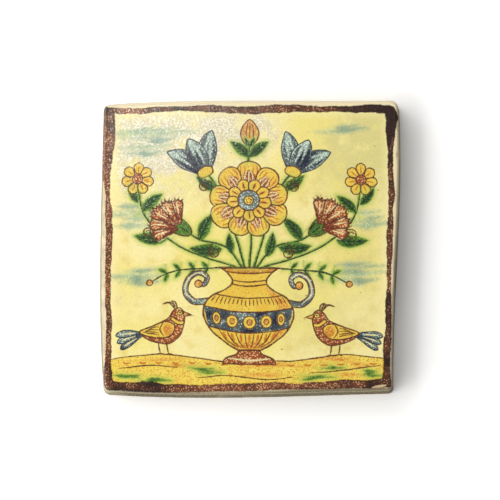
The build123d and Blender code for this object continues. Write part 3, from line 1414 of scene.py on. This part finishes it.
    def _make_glazed_skin(self) -> None:
        """Makes the points and quads of the face, the edge and the walls."""
        rings = self._rings()
        face = self._face_grid(rings[0][:, :2])
        face = np.column_stack([face, np.full(len(face), self.thickness)])
        numbers = [self._border_numbers()]
        count = len(face)
        for ring in rings[1:]:
            numbers.append(count + np.arange(len(ring)))
            count += len(ring)
        self.points = np.vstack([face, *rings[1:]])
        self.ring_numbers = numbers
        row = self.cells + 1
        corner = (np.arange(self.cells)[:, None] * row + np.arange(self.cells)[None]).ravel()
        quads = [np.column_stack([corner, corner + 1, corner + row + 1, corner + row])]
        for upper, lower in zip(numbers, numbers[1:]):
            quads.append(np.column_stack([upper, lower, np.roll(lower, -1), np.roll(upper, -1)]))
        self.quads = np.vstack(quads)
        self.heights = self.points[:, 2].copy()
        turns = np.arange(4 * self.cells) / self.cells
        self.turns = np.concatenate([self.grid_turn, np.tile(turns, len(rings) - 1)])

    def face_places(self) -> Array:
        """Returns each glazed vertex's x and y in millimetres."""
        return self.points[:, :2] / MM

    def insets(self) -> Array:
        """Returns how far in from the foot's outline each glazed vertex lies, in millimetres.

        Down the wall the distance goes on below zero, so that a stripe at the edge laps over it.
        """
        outline = np.vstack([self.low_outline, self.low_outline[:1]]) / MM
        places = self.face_places()
        inset = np.full(len(places), self.inner_inset)
        near = np.flatnonzero(np.abs(places).max(1) > self.low_outline.max() / MM - self.edge_reach)
        offset, along, _ = nearest_on_path(places[near], outline)
        inset[near] = offset
        total = np.linalg.norm(np.diff(outline, axis=0), axis=1)
        stations = np.concatenate([[0], np.cumsum(total)])
        self.turns[near] = np.interp(along, stations, np.arange(len(stations)) / self.cells)
        drop = np.maximum(self.thickness - self.arris_radius - self.heights, 0) / MM
        return inset - 0.35 * drop

    def bareness(self) -> Array:
        """Returns how far inside bare clay each glazed vertex lies, in millimetres, negative under glaze."""
        places = self.face_places()
        waver = 0.35 * SmoothNoise(61, 9).at(places) + 0.15 * SmoothNoise(62, 2.4).at(places)
        bare = self.glaze_line + waver - self.heights / MM
        for chip in self.chips:
            bare = np.maximum(bare, chip.depth_inside(places))
        return bare

    def thin_glaze_and_shade(self) -> Array:
        """Returns, from 0 to 1, how much darker colour lies on the arris and walls: thin glaze plus painted
        shade, most along the bottom.
        """
        share = np.interp(self.turns, *zip(*self.arris_shade_stations))
        waver = 0.25 * SmoothNoise(63, 3).at(self.face_places())
        reach = np.clip(1.7 * (1 - self.insets() / self.arris_shade_reach) + waver, 0, 1)
        return share * reach

    def fire(self) -> None:
        """Gives the glazed skin the relief of the firing, without growing past the CAD tile's box."""
        places = self.face_places()
        swell = 0.06 * SmoothNoise(51, 24).at(places) + 0.012 * SmoothNoise(52, 8).at(places)
        ripple = 0.003 * SmoothNoise(53, 3).at(places)
        upper = np.clip((self.heights / self.thickness - 0.5) * 2.6, 0, 1)
        self.points[:, 2] -= (0.125 - swell - ripple) * MM * upper
        for chip in self.chips:
            dent = np.clip(chip.depth_inside(places) / chip.half_width * 1.6, 0, 1)
            self.points[:, 2] -= dent * chip.depth * MM * upper
        self._fire_walls()

    def _fire_walls(self) -> None:
        """Runs the glaze down the walls to a rolled edge above the bare foot."""
        bare = self.bareness()
        inward = self._inward(self.low_outline)
        for numbers in self.ring_numbers[self.arris_steps : -self.foot_steps]:
            height = self.heights[numbers] / MM
            sheet = np.clip(-bare[numbers] / 0.5, 0, 1)
            roll = np.exp(-(((-bare[numbers] - 0.5) / 0.5) ** 2))
            spots = np.column_stack([self.turns[numbers] * 150, height])
            runs = SmoothNoise(54, 5).at(spots * (1, 0.35)) + 0.6 * SmoothNoise(55, 2).at(spots * (1, 0.5))
            proud = 0.05 * sheet + 0.09 * roll - 0.07 - 0.07 * runs
            room = np.clip((height - 1) * 0.08, 0, 1)
            self.points[numbers, :2] -= inward * (np.minimum(proud, room) * MM)[:, None]

    def build(self, name: str) -> bpy.types.Object:
        """Joins the glazed skin to the back.

        Args:
            name: The new piece's name.

        Returns:
            The piece, with its materials still to come: slot 0 for the glazed skin and 1 for the back.
        """
        points, faces = self._back()
        mesh = bpy.data.meshes.new(name)
        mesh.from_pydata(np.vstack([self.points, points]).tolist(), [], self.quads.tolist() + faces)
        mesh.shade_smooth()
        mesh.set_sharp_from_angle(angle=math.radians(40))
        slots = np.zeros(len(mesh.polygons), np.int32)
        slots[len(self.quads) :] = 1
        mesh.polygons.foreach_set("material_index", slots)
        self._lay_out(mesh)
        piece = bpy.data.objects.new(name, mesh)
        bpy.context.scene.collection.objects.link(piece)
        return piece

    def _back(self) -> tuple[Array, list[tuple[int, ...]]]:
        """Makes the bare back with its keying channels.

        Returns:
            The new points, and the faces, whose numbers go on from the glazed skin's.
        """
        pile = PointPile(len(self.points))
        faces: list[tuple[int, ...]] = []
        border = self.ring_numbers[-1]
        loops = [self.points[border, :2]]
        numbers = [border]
        for place in range(-self.channel_pairs, self.channel_pairs):
            middle = np.array([0, (place + 0.5) * self.channel_pitch])
            rings = []
            for half, height in self.channel.levels():
                outline, roots = self.channel.ring(half)
                rings.append(pile.add(self._ring(outline + middle, height)))
            loops.append(pile.groups[-len(rings)][:, :2])
            numbers.append(rings[0])
            for lower, upper in zip(rings, rings[1:]):
                around = zip(lower, upper, np.roll(upper, -1), np.roll(lower, -1))
                faces += [tuple(int(n) for n in quad) for quad in around]
            faces += self._channel_floor(pile, rings[-1], roots + middle)
        faces += self._land(pile, loops, numbers)
        return np.vstack(pile.groups), faces

    def _channel_floor(self, pile: PointPile, ring: Array, roots: Array) -> list[tuple[int, ...]]:
        """Closes a channel's floor between its last ring and its middle line.

        Args:
            pile: The back's points, which gain the middle line's.
            ring: The last ring's vertex numbers.
            roots: The middle line's point for each vertex of the ring.

        Returns:
            The floor's faces.
        """
        keys = [tuple(np.round(root, 7)) for root in roots]
        unique = sorted(set(keys))
        number = dict(zip(unique, pile.add(self._ring(np.array(unique), self.channel.depth)).tolist()))
        faces = []
        for here, there, key, next_key in zip(ring, np.roll(ring, -1), keys, keys[1:] + keys[:1]):
            face = [int(here), number[key], number[next_key], int(there)]
            faces.append(tuple(dict.fromkeys(face)))
        return faces

    def _land(self, pile: PointPile, loops: list[Array], numbers: list[Array]) -> list[tuple[int, ...]]:
        """Fills the flat land between the back's border and its channels.

        Args:
            pile: The back's points, which gain the land's own.
            loops: The border's and the channels' outlines.
            numbers: Their vertex numbers.

        Returns:
            The land's triangles, facing down.
        """
        half = self.low_outline.max()
        step = np.arange(-half, half, self.land_pitch)
        shift = 0.4 * self.land_pitch
        spots = np.array([(x + shift * (row % 2), y) for row, y in enumerate(step) for x in step])
        keep = inside_outline(spots, loops[0])
        for place, loop in enumerate(loops):
            offset, _, _ = nearest_on_path(spots, np.vstack([loop, loop[:1]]))
            keep &= np.abs(offset) > 0.45 * self.land_pitch
            if place:
                keep &= ~inside_outline(spots, loop)
        spots = spots[keep]
        given = np.concatenate([*numbers, pile.add(self._ring(spots, 0))])
        edges, at = [], 0
        for loop in loops:
            edges += [(at + n, at + (n + 1) % len(loop)) for n in range(len(loop))]
            at += len(loop)
        flat = [Vector(spot) for spot in np.vstack([*loops, spots]).tolist()]
        _, _, triangles, origins, _, _ = delaunay_2d_cdt(flat, edges, [], 1, 1e-9)
        middles = np.array([np.mean([flat[origins[n][0]] for n in t], axis=0) for t in triangles])
        hole = np.zeros(len(triangles), bool)
        for loop in loops[1:]:
            hole |= inside_outline(middles, loop)
        solid = [t for t, is_hole in zip(triangles, hole) if not is_hole]
        return [tuple(int(given[origins[n][0]]) for n in reversed(t)) for t in solid]

    def _lay_out(self, mesh: bpy.types.Mesh) -> None:
        """Gives the mesh a map on which the painted face has most of the room.

        Args:
            mesh: The whole tile's mesh.
        """
        face_room, gap, strip, back_room = 0.785, 0.005, 0.09, 0.193
        places = np.zeros((len(mesh.loops), 2), np.float32)
        row = self.cells + 1
        face_count = self.cells**2
        corners = self.quads[:face_count].ravel()
        grid = np.column_stack([corners % row, corners // row]) / self.cells
        places[: 4 * face_count] = gap + grid * face_room
        at = 4 * face_count
        steps = len(self.ring_numbers) - 1
        station = np.arange(4 * self.cells)
        side, along = station // self.cells, (station % self.cells) / self.cells
        for ring in range(steps):
            low, high = ring / steps, (ring + 1) / steps
            ahead = along + 1 / self.cells
            corner_along = np.column_stack([along, along, ahead, ahead]).ravel() * face_room + gap
            lane = 0.8 + 0.1 * (np.repeat(side, 4) % 2)
            corner_down = lane + strip * np.tile([low, high, high, low], len(station))
            flat = np.repeat(side, 4) < 2
            u = np.where(flat, corner_along, corner_down)
            v = np.where(flat, corner_down, corner_along)
            places[at : at + 4 * len(station)] = np.column_stack([u, v])
            at += 4 * len(station)
        vertex = np.zeros(len(mesh.loops), np.int32)
        mesh.loops.foreach_get("vertex_index", vertex)
        spots = np.zeros(3 * len(mesh.vertices), np.float32)
        mesh.vertices.foreach_get("co", spots)
        plan = spots.reshape(-1, 3)[vertex[at:], :2]
        half = self.low_outline.max() * 1.01
        places[at:] = 0.802 + (plan + half) / (2 * half) * back_room
        mesh.uv_layers.new(name="OFBake").data.foreach_set("uv", places.ravel())


# Finishes


class NodeGraph:
    """Short ways to add shader nodes to one tree."""

    def __init__(self, tree: bpy.types.NodeTree) -> None:
        """Empties the tree."""
        self.tree = tree
        self.tree.nodes.clear()

    def feed(self, socket: Socket, value: object) -> None:
        """Links a socket to another one, or sets its value, for which a screen colour is turned linear."""
        if isinstance(value, Socket):
            self.tree.links.new(value, socket)
        elif isinstance(value, tuple) and len(value) == 3:
            socket.default_value = linear(value)
        else:
            socket.default_value = value

    def add(self, kind: str, inputs: dict[str | int, object], **settings: object) -> bpy.types.Node:
        """Adds a node.

        Args:
            kind: The node's type.
            inputs: What its inputs are fed, by name or place.
            **settings: Its other settings.

        Returns:
            The node.
        """
        node = self.tree.nodes.new(kind)
        for name, value in settings.items():
            setattr(node, name, value)
        for name, value in inputs.items():
            self.feed(node.inputs[name], value)
        return node

    def sum(self, operation: str, *values: object, clamp: bool = False) -> Socket:
        """Returns the result of a Math node, held between 0 and 1 if clamped."""
        inputs = dict(enumerate(values))
        return self.add("ShaderNodeMath", inputs, operation=operation, use_clamp=clamp).outputs[0]

    def plus(self, first: object, second: object) -> Socket:
        """Returns two values' sum."""
        return self.sum("ADD", first, second)

    def times(self, first: object, second: object) -> Socket:
        """Returns two values' product."""
        return self.sum("MULTIPLY", first, second)

    def scaled(self, value: object, factor: float, rest: object) -> Socket:
        """Returns a value times a factor, plus the rest."""
        return self.sum("MULTIPLY_ADD", value, factor, rest)

    def swing(self, noise: Socket, reach: float) -> Socket:
        """Returns noise that swings about zero, by the reach either way."""
        return self.scaled(noise, 2 * reach, -reach)

    def ease(self, value: object, low: object, high: object) -> Socket:
        """Returns a smooth step from 0 at low to 1 at high."""
        inputs = {"Value": value, "From Min": low, "From Max": high}
        return self.add("ShaderNodeMapRange", inputs, interpolation_type="SMOOTHSTEP").outputs["Result"]

    def blend(self, share: object, first: object, second: object) -> Socket:
        """Returns a colour between two, by the second one's share."""
        inputs = {"Factor": share, "A": first, "B": second}
        return self.add("ShaderNodeMix", inputs, data_type="RGBA").outputs["Result"]


class PaintGraph(NodeGraph):
    """One finish's material, whose patterns lie in the tile's own directions."""

    def __init__(self, name: str) -> None:
        """Starts an empty material."""
        self.material = bpy.data.materials.new(name)
        self.material.use_nodes = True
        super().__init__(self.material.node_tree)
        self.places = self.add("ShaderNodeTexCoord", {}).outputs["Object"]

    def noise(self, size: float, detail: float, seed: float) -> Socket:
        """Adds noise.

        Args:
            size: The size of its blotches, in metres.
            detail: How many finer octaves it has.
            seed: Moves it to another part of the pattern.

        Returns:
            The noise, about 0.5.
        """
        inputs = {"Vector": self.places, "W": seed, "Scale": 1 / size, "Detail": detail}
        return self.add("ShaderNodeTexNoise", inputs, noise_dimensions="4D").outputs["Fac"]

    def cells(self, size: float) -> Socket:
        """Returns the distance to the nearest of many scattered points, in shares of the size given."""
        inputs = {"Vector": self.places, "Scale": 1 / size}
        return self.add("ShaderNodeTexVoronoi", inputs).outputs["Distance"]

    def read(self, name: str) -> Socket:
        """Returns the painting's field of this name."""
        return self.add("ShaderNodeAttribute", {}, attribute_name=name).outputs["Fac"]

    def read_line(self, name: str) -> tuple[Socket, Socket, Socket]:
        """Returns a brush line's offset, half-width and rank."""
        line = self.add("ShaderNodeAttribute", {}, attribute_name=name).outputs["Vector"]
        return tuple(self.add("ShaderNodeSeparateXYZ", {0: line}).outputs)

    def finish(self, colour: object, roughness: object, height: object, depth: float) -> bpy.types.Material:
        """Closes the graph with one shader.

        Args:
            colour: The base colour.
            roughness: The roughness.
            height: The fine relief, from 0 to 1.
            depth: How deep that relief is, in metres.

        Returns:
            The material.
        """
        bump = self.add("ShaderNodeBump", {"Distance": depth, "Height": height}).outputs["Normal"]
        inputs = {"Base Color": colour, "Roughness": roughness, "Normal": bump}
        shader = self.add("ShaderNodeBsdfPrincipled", inputs)
        self.add("ShaderNodeOutputMaterial", {"Surface": shader.outputs["BSDF"]})
        return self.material


class GlazeGraph(PaintGraph):
    """The glaze's material, with the noises that all its pigments share."""

    def __init__(self, name: str) -> None:
        """Starts with the noises alone."""
        super().__init__(name)
        self.grain = self.cells(0.9 * MM)
        self.fine_grain = self.noise(0.6 * MM, detail=1, seed=4)
        self.mottle = self.noise(7 * MM, detail=3, seed=9)
        self.ragged = self.noise(1.3 * MM, detail=2, seed=2)


@dataclass(frozen=True)
class Pigment:
    """How one pigment looks under the glaze.

    Thin and full are its colours where it lies thin and thick, and speck is the glaze that shows between
    its grains. Soft is how far its edge fades, ragged how far the edge wanders and halo how far it bleeds,
    in millimetres. Rim is how much thicker it dries along its edge, as a share of a full load.
    """

    ink: Ink
    thin: Colour
    full: Colour
    speck: Colour
    speck_share: float
    soft: float = 0.3
    ragged: float = 0.35
    cover: float = 1.0
    halo: float = 0.0
    rim: float = 0.0


@dataclass(frozen=True)
class PaintedGlaze:
    """Glossy cream-yellow tin glaze with the painting in it, bare at the chips and below the glaze line."""

    cream: Colour = (239, 224, 128)
    pale_cream: Colour = (246, 232, 164)
    deep_cream: Colour = (230, 206, 112)
    edge_cream: Colour = (237, 220, 181)
    wall_cream: Colour = (202, 188, 150)
    # painted shade: olive walls and a dark arris where less light falls, most along the bottom edge
    shaded_wall_olive: Colour = (133, 120, 86)
    shaded_arris_cream: Colour = (128, 115, 84)
    # painted sheen: milky white flecked with grey-cream, standing for a glare; painted shade: a dull, darker
    # cream
    sheen_white: Colour = (247, 241, 216)
    sheen_grey: Colour = (214, 204, 168)
    shaded_dull_cream: Colour = (220, 209, 136)
    clay: Colour = (220, 192, 154)
    dark_clay: Colour = (198, 162, 122)
    pigments: tuple[Pigment, ...] = (
        Pigment(Ink.TURQUOISE, (190, 206, 148), (100, 144, 128), (208, 216, 176), 0.2, 2, 1.1, cover=0.9),
        Pigment(Ink.YELLOW, (240, 218, 96), (226, 178, 50), (210, 146, 44), 0.2),
        Pigment(Ink.ORANGE, (226, 160, 54), (180, 88, 26), (246, 200, 96), 0.4, 0.6, 0.6, cover=0.9),
        Pigment(Ink.GREEN, (96, 142, 40), (14, 48, 12), (120, 160, 66), 0.2, 0.5, 0.4, halo=3.4),
        Pigment(Ink.BLUE, (164, 184, 164), (26, 32, 52), (206, 220, 204), 0.4, 0.4, 0.4),
        Pigment(Ink.RUST, (176, 90, 44), (112, 44, 16), (236, 188, 124), 0.38),
        Pigment(Ink.STRIPE, (160, 90, 52), (44, 22, 12), (212, 162, 118), 0.3, 0.3, 0.5, rim=0.24),
    )
    halo_colour: Colour = (176, 194, 80)
    halo_strength: float = 0.75
    # how much painted sheen lies over the painting itself
    sheen_veil: float = 0.05
    gloss_roughness: float = 0.07
    frost_roughness: float = 0.22
    clay_roughness: float = 0.6
    relief: float = 0.035 * MM
    pens: tuple[tuple[Pen, Colour], ...] = (
        (Pen.GLAZE, (226, 214, 158)),
        (Pen.ORANGE, (196, 112, 32)),
        (Pen.GREEN, (16, 48, 20)),
        (Pen.BLUE, (34, 44, 60)),
        (Pen.BROWN, (88, 40, 18)),
    )

    def material(self) -> bpy.types.Material:
        """Builds the glaze's material."""
        graph = GlazeGraph("painted_glaze")
        colour = self._bare_glaze(graph)
        painted: object = 0.0
        for pigment in self.pigments:
            colour, mask = self._lay(graph, pigment, colour)
            painted = graph.sum("MAXIMUM", painted, mask)
        for name in ("line_below", "line_above"):
            colour = self._draw(graph, name, colour)
        # painted sheen over the pigments where the glare lies
        sheen_veiled = graph.times(graph.ease(graph.read("sheen_and_shade"), 0.2, 1.1), self.sheen_veil)
        colour = graph.blend(sheen_veiled, colour, self.sheen_white)
        bare = graph.plus(graph.read("bare"), graph.swing(graph.ragged, 0.3))
        chipped = graph.ease(bare, -0.05, 0.12)
        clay = graph.blend(graph.mottle, self.clay, self.dark_clay)
        colour = graph.blend(chipped, colour, clay)
        frosted = graph.ease(graph.noise(0.8 * MM, detail=1, seed=7), 0.42, 0.58)
        roughness = graph.scaled(frosted, self.frost_roughness, self.gloss_roughness)
        roughness = graph.scaled(chipped, self.clay_roughness, roughness)
        peel = graph.noise(0.7 * MM, detail=1, seed=8)
        height = graph.scaled(graph.times(graph.grain, painted), 0.4, peel)
        return graph.finish(colour, roughness, height, self.relief)

    def _bare_glaze(self, graph: GlazeGraph) -> Socket:
        """Returns the glaze's colour: cream and paler towards the edge, with patches of painted sheen and
        painted shade, and painted shade over the arris and walls.
        """
        # the thin attribute carries painted shade on the arris and walls as well as thin glaze
        mottle, inset, thin = graph.mottle, graph.read("inset"), graph.read("thin")
        drift = graph.noise(32 * MM, detail=1, seed=1)
        colour = graph.blend(graph.ease(drift, 0.35, 0.7), self.cream, self.pale_cream)
        colour = graph.blend(graph.ease(mottle, 0.45, 0.8), colour, self.deep_cream)
        # painted sheen where the field is positive, and painted shade, a duller and darker cream, where it is
        # negative
        sheen_and_shade = graph.times(graph.read("sheen_and_shade"), graph.scaled(mottle, 4, -1))
        sheen_flecks = graph.ease(graph.noise(0.9 * MM, detail=1, seed=11), 0.46, 0.62)
        sheen_colour = graph.blend(sheen_flecks, self.sheen_grey, self.sheen_white)
        colour = graph.blend(graph.ease(sheen_and_shade, 0, 1), colour, sheen_colour)
        colour = graph.blend(graph.ease(sheen_and_shade, 0, -1), colour, self.shaded_dull_cream)
        dusting = graph.times(graph.ease(graph.fine_grain, 0.5, 0.75), 0.45)
        colour = graph.blend(dusting, colour, self.deep_cream)
        uneven_inset = graph.scaled(mottle, 3, inset)
        colour = graph.blend(graph.ease(uneven_inset, 14, 5), colour, self.pale_cream)
        colour = graph.blend(graph.ease(uneven_inset, 6, 4.2), colour, self.edge_cream)
        # painted shade: the walls turn olive where the thin attribute is high, most along the bottom
        wall_shade_and_mottle = graph.plus(thin, graph.scaled(mottle, 1.6, -0.7))
        wall = graph.blend(graph.ease(wall_shade_and_mottle, 0.1, 0.9), self.wall_cream, self.shaded_wall_olive)
        colour = graph.blend(graph.ease(inset, 0.5, -1.2), colour, wall)
        # painted shade with thin glaze over the arris, side by side
        over_arris = graph.times(thin, graph.ease(inset, -0.3, 0.3))
        return graph.blend(over_arris, colour, self.shaded_arris_cream)

    def _lay(self, graph: GlazeGraph, pigment: Pigment, colour: Socket) -> tuple[Socket, Socket]:
        """Lays one pigment over what is there.

        Args:
            graph: The material's graph.
            pigment: The pigment.
            colour: The colour under it.

        Returns:
            The new colour, and where the pigment lies.
        """
        wander = graph.swing(graph.ragged, pigment.ragged)
        crumble = graph.swing(graph.fine_grain, 0.6 * pigment.ragged)
        edge = graph.plus(graph.plus(graph.read(pigment.ink.value), wander), crumble)
        if pigment.halo:
            bleed = graph.sum("POWER", graph.ease(edge, -pigment.halo, 0.6), 1.6)
            colour = graph.blend(graph.times(bleed, self.halo_strength), colour, self.halo_colour)
        mask = graph.times(graph.ease(edge, -pigment.soft, pigment.soft), pigment.cover)
        pooled = graph.times(graph.ease(edge, 0.9, 0.1), pigment.rim)
        even_load = graph.plus(graph.read("load"), pooled)
        load = graph.sum("ADD", even_load, graph.swing(graph.mottle, 0.55), clamp=True)
        tone = graph.blend(load, pigment.thin, pigment.full)
        share = pigment.speck_share
        open_share = graph.sum("MULTIPLY_ADD", load, -0.37 * share, 0.36 * share, clamp=True)
        reach = graph.sum("POWER", open_share, 1 / 3)
        speckled = graph.ease(graph.grain, graph.plus(reach, 0.08), graph.plus(reach, -0.12))
        tone = graph.blend(speckled, tone, pigment.speck)
        return graph.blend(mask, colour, tone), mask

    def _draw(self, graph: GlazeGraph, name: str, colour: Socket) -> Socket:
        """Draws the brush lines of one layer.

        Args:
            graph: The material's graph.
            name: The layer's attribute.
            colour: The colour under them.

        Returns:
            The new colour.
        """
        offset, half, rank = graph.read_line(name)
        reach = graph.plus(half, graph.swing(graph.ragged, 0.18))
        gap = graph.sum("SUBTRACT", reach, graph.sum("ABSOLUTE", offset))
        dry = graph.ease(graph.fine_grain, 0.45, 0.65)
        mask = graph.times(graph.ease(gap, -0.12, 0.1), graph.scaled(dry, -0.3, 1))
        place_on_ramp = graph.sum("DIVIDE", graph.plus(rank, 0.5), len(self.pens))
        ramp = graph.add("ShaderNodeValToRGB", {"Fac": place_on_ramp})
        ramp.color_ramp.interpolation = "CONSTANT"
        elements = ramp.color_ramp.elements
        while len(elements) < len(self.pens):
            elements.new(1)
        for place, (pen, shade) in enumerate(self.pens):
            elements[place].position = pen.value / len(self.pens)
            elements[place].color = linear(shade)
        return graph.blend(mask, colour, ramp.outputs["Color"])


@dataclass(frozen=True)
class SheenAndShadeClouds:
    """Painted sheen and painted shade on the glaze: milky-white patches with white flecks stand for a glare
    over the upper left and top, and dull, darker patches stand for shade towards the right.

    Each patch has a middle and a reach in millimetres, and a strength: positive for painted sheen, negative
    for painted shade.
    """

    patches: Rows = (
        (-52, 62, 34, 1.1), (2, 72, 30, 0.62), (66, 52, 34, -1.1),
        (72, -10, 26, -0.2), (36, -30, 32, -0.4), (-68, -26, 20, 0.25),
    )

    def over(self, places: Array) -> Array:
        """Returns the painted sheen at each place, negative where it is painted shade."""
        sheen_and_shade = np.zeros(len(places))
        for x, y, reach, strength in self.patches:
            sheen_and_shade += strength * np.exp(-(((places - (x, y)) ** 2).sum(1)) / reach**2)
        return sheen_and_shade


@dataclass(frozen=True)
class BareBiscuit:
    """The fired clay of the back: buff, dusty and a little sandy."""

    clay: Colour = (207, 172, 132)
    dark_clay: Colour = (176, 132, 94)
    pale_clay: Colour = (226, 200, 166)
    relief: float = 0.12 * MM

    def material(self) -> bpy.types.Material:
        """Builds the clay's material."""
        graph = PaintGraph("bare_biscuit")
        cloud = graph.noise(14 * MM, detail=4, seed=3)
        sand = graph.noise(0.7 * MM, detail=2, seed=5)
        colour = graph.blend(graph.ease(cloud, 0.35, 0.7), self.clay, self.pale_clay)
        colour = graph.blend(graph.ease(sand, 0.56, 0.72), colour, self.dark_clay)
        roughness = graph.scaled(sand, 0.15, 0.78)
        height = graph.scaled(cloud, 0.6, sand)
        return graph.finish(colour, roughness, height, self.relief)


@dataclass
class PaintedTile:
    """The tile itself: its fired body, its painting and its finishes."""

    name: str = "painted_tile"
    node: str = "tile"
    slot: str = "glazed_tile"
    sheen_clouds: SheenAndShadeClouds = SheenAndShadeClouds()

    def build(self, nodes: dict[str, bpy.types.Object]) -> bpy.types.Object:
        """Builds the dressed tile in the CAD tile's place.

        Args:
            nodes: The frame's nodes.

        Returns:
            The finished piece.
        """
        body = TileBody(nodes[self.node])
        canvas = Canvas(body.face_places(), body.quads)
        inset = body.insets()
        Bouquet().paint(canvas)
        EdgeStripe().paint(canvas, inset, body.turns)
        bare = body.bareness()
        # thin holds the painted shade of the arris and walls, with thin glaze
        thin = body.thin_glaze_and_shade()
        body.fire()
        piece = body.build(self.name)
        canvas.store(piece.data)
        # painted sheen and painted shade over the face
        sheen_and_shade = self.sheen_clouds.over(canvas.places)
        for name, values in (("inset", inset), ("thin", thin), ("sheen_and_shade", sheen_and_shade), ("bare", bare)):
            store_values(piece.data, name, values, canvas.far)
        piece.data.materials.append(PaintedGlaze().material())
        piece.data.materials.append(BareBiscuit().material())
        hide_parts(self.node)
        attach(piece, "root")
        return piece


# The studio


@dataclass(frozen=True)
class Softbox:
    """A rectangular lamp: its place, its width and height, its power in watts and what it looks at."""

    name: str
    place: Place
    size: Point
    power: float
    target: Place

    def hang(self) -> None:
        """Hangs the lamp."""
        lamp = bpy.data.lights.new(self.name, "AREA")
        lamp.shape = "RECTANGLE"
        lamp.size, lamp.size_y = self.size
        lamp.energy = self.power
        stand = bpy.data.objects.new(self.name, lamp)
        stand.location = self.place
        stand.rotation_euler = (Vector(self.target) - Vector(self.place)).to_track_quat("-Z", "Y").to_euler()
        bpy.context.scene.collection.objects.link(stand)


@dataclass
class Studio:
    """The pale floor, the soft light and the camera that looks down on the tile.

    The floor is white to the eye and greyer to the light that it throws back on the walls. The room's own
    light is stronger from the left than from the right.
    """

    elevation: float = 77.8
    distance: float = 2.0
    focal_length: float = 285.8
    floor_level: float = -0.00005
    floor_size: float = 12.0
    floor_seen: Row = (1.24, 1.23, 1.21, 1)
    floor_glow: Row = (0.3, 0.3, 0.3, 1)
    room_left: float = 0.5
    room_right: float = 0.25
    softboxes: tuple[Softbox, ...] = (
        Softbox("window", (-1.2, 0, 0.5), (2.2, 1), 21.2, TILE_MIDDLE),
        Softbox("back_window", (-0.6, 1.05, 0.48), (1.3, 0.96), 10.8, TILE_MIDDLE),
        Softbox("front_window", (-0.88, -0.82, 0.48), (1.3, 0.96), 9, TILE_MIDDLE),
        Softbox("overhead", (-0.09, 0.45, 1.5), (0.05, 0.05), 0.3, (-0.09, 0.45, 0)),
    )

    def build(self) -> None:
        """Sets up the floor, the lights, the world and the camera."""
        self._build_floor()
        for softbox in self.softboxes:
            softbox.hang()
        self._light_world()
        self._set_camera()
        bpy.context.scene.view_settings.view_transform = "Standard"

    def _build_floor(self) -> None:
        """Lays the floor."""
        half = self.floor_size / 2
        mesh = bpy.data.meshes.new("floor")
        corners = [(-half, -half), (half, -half), (half, half), (-half, half)]
        mesh.from_pydata([(x, y, self.floor_level) for x, y in corners], [], [(0, 1, 2, 3)])
        floor = bpy.data.objects.new("floor", mesh)
        bpy.context.scene.collection.objects.link(floor)
        mesh.materials.append(self._floor_material())

    def _floor_material(self) -> bpy.types.Material:
        """Builds the floor's material."""
        material = bpy.data.materials.new("floor_paper")
        material.use_nodes = True
        graph = NodeGraph(material.node_tree)
        is_seen = graph.add("ShaderNodeLightPath", {}).outputs["Is Camera Ray"]
        colour = graph.blend(is_seen, self.floor_glow, self.floor_seen)
        shader = graph.add("ShaderNodeBsdfDiffuse", {"Color": colour})
        graph.add("ShaderNodeOutputMaterial", {"Surface": shader.outputs["BSDF"]})
        return material

    def _light_world(self) -> None:
        """Fills the room with a little light from all round."""
        world = bpy.data.worlds.new("room")
        world.use_nodes = True
        graph = NodeGraph(world.node_tree)
        way = graph.add("ShaderNodeTexCoord", {}).outputs["Generated"]
        rightward = graph.add("ShaderNodeSeparateXYZ", {0: way}).outputs["X"]
        inputs = {"Value": rightward, "From Min": -1, "From Max": 1}
        inputs |= {"To Min": self.room_left, "To Max": self.room_right}
        strength = graph.add("ShaderNodeMapRange", inputs).outputs["Result"]
        room = graph.add("ShaderNodeBackground", {"Color": (1, 1, 1, 1), "Strength": strength})
        graph.add("ShaderNodeOutputWorld", {"Surface": room.outputs["Background"]})
        bpy.context.scene.world = world

    def _set_camera(self) -> None:
        """Aims the camera at the tile's middle from the photograph's angle."""
        camera = bpy.data.cameras.new("camera")
        camera.lens = self.focal_length
        camera.sensor_width = 36
        tilt = math.radians(self.elevation)
        stand = bpy.data.objects.new("camera", camera)
        aim = Vector(TILE_MIDDLE)
        stand.location = aim + Vector((0, -math.cos(tilt), math.sin(tilt))) * self.distance
        stand.rotation_euler = (aim - stand.location).to_track_quat("-Z", "Y").to_euler()
        bpy.context.scene.collection.objects.link(stand)
        bpy.context.scene.camera = stand


def main() -> None:
    """Builds the tile and the studio, and notes the sizes."""
    logging.basicConfig(level=logging.INFO, format="%(name)s: %(message)s")
    piece = PaintedTile().build(frame["nodes"])
    mesh = piece.data
    log.info("%s has %d faces and %d vertices", piece.name, len(mesh.polygons), len(mesh.vertices))
    Studio().build()
    log.info("studio is set")


if __name__ == "__main__":
    main()
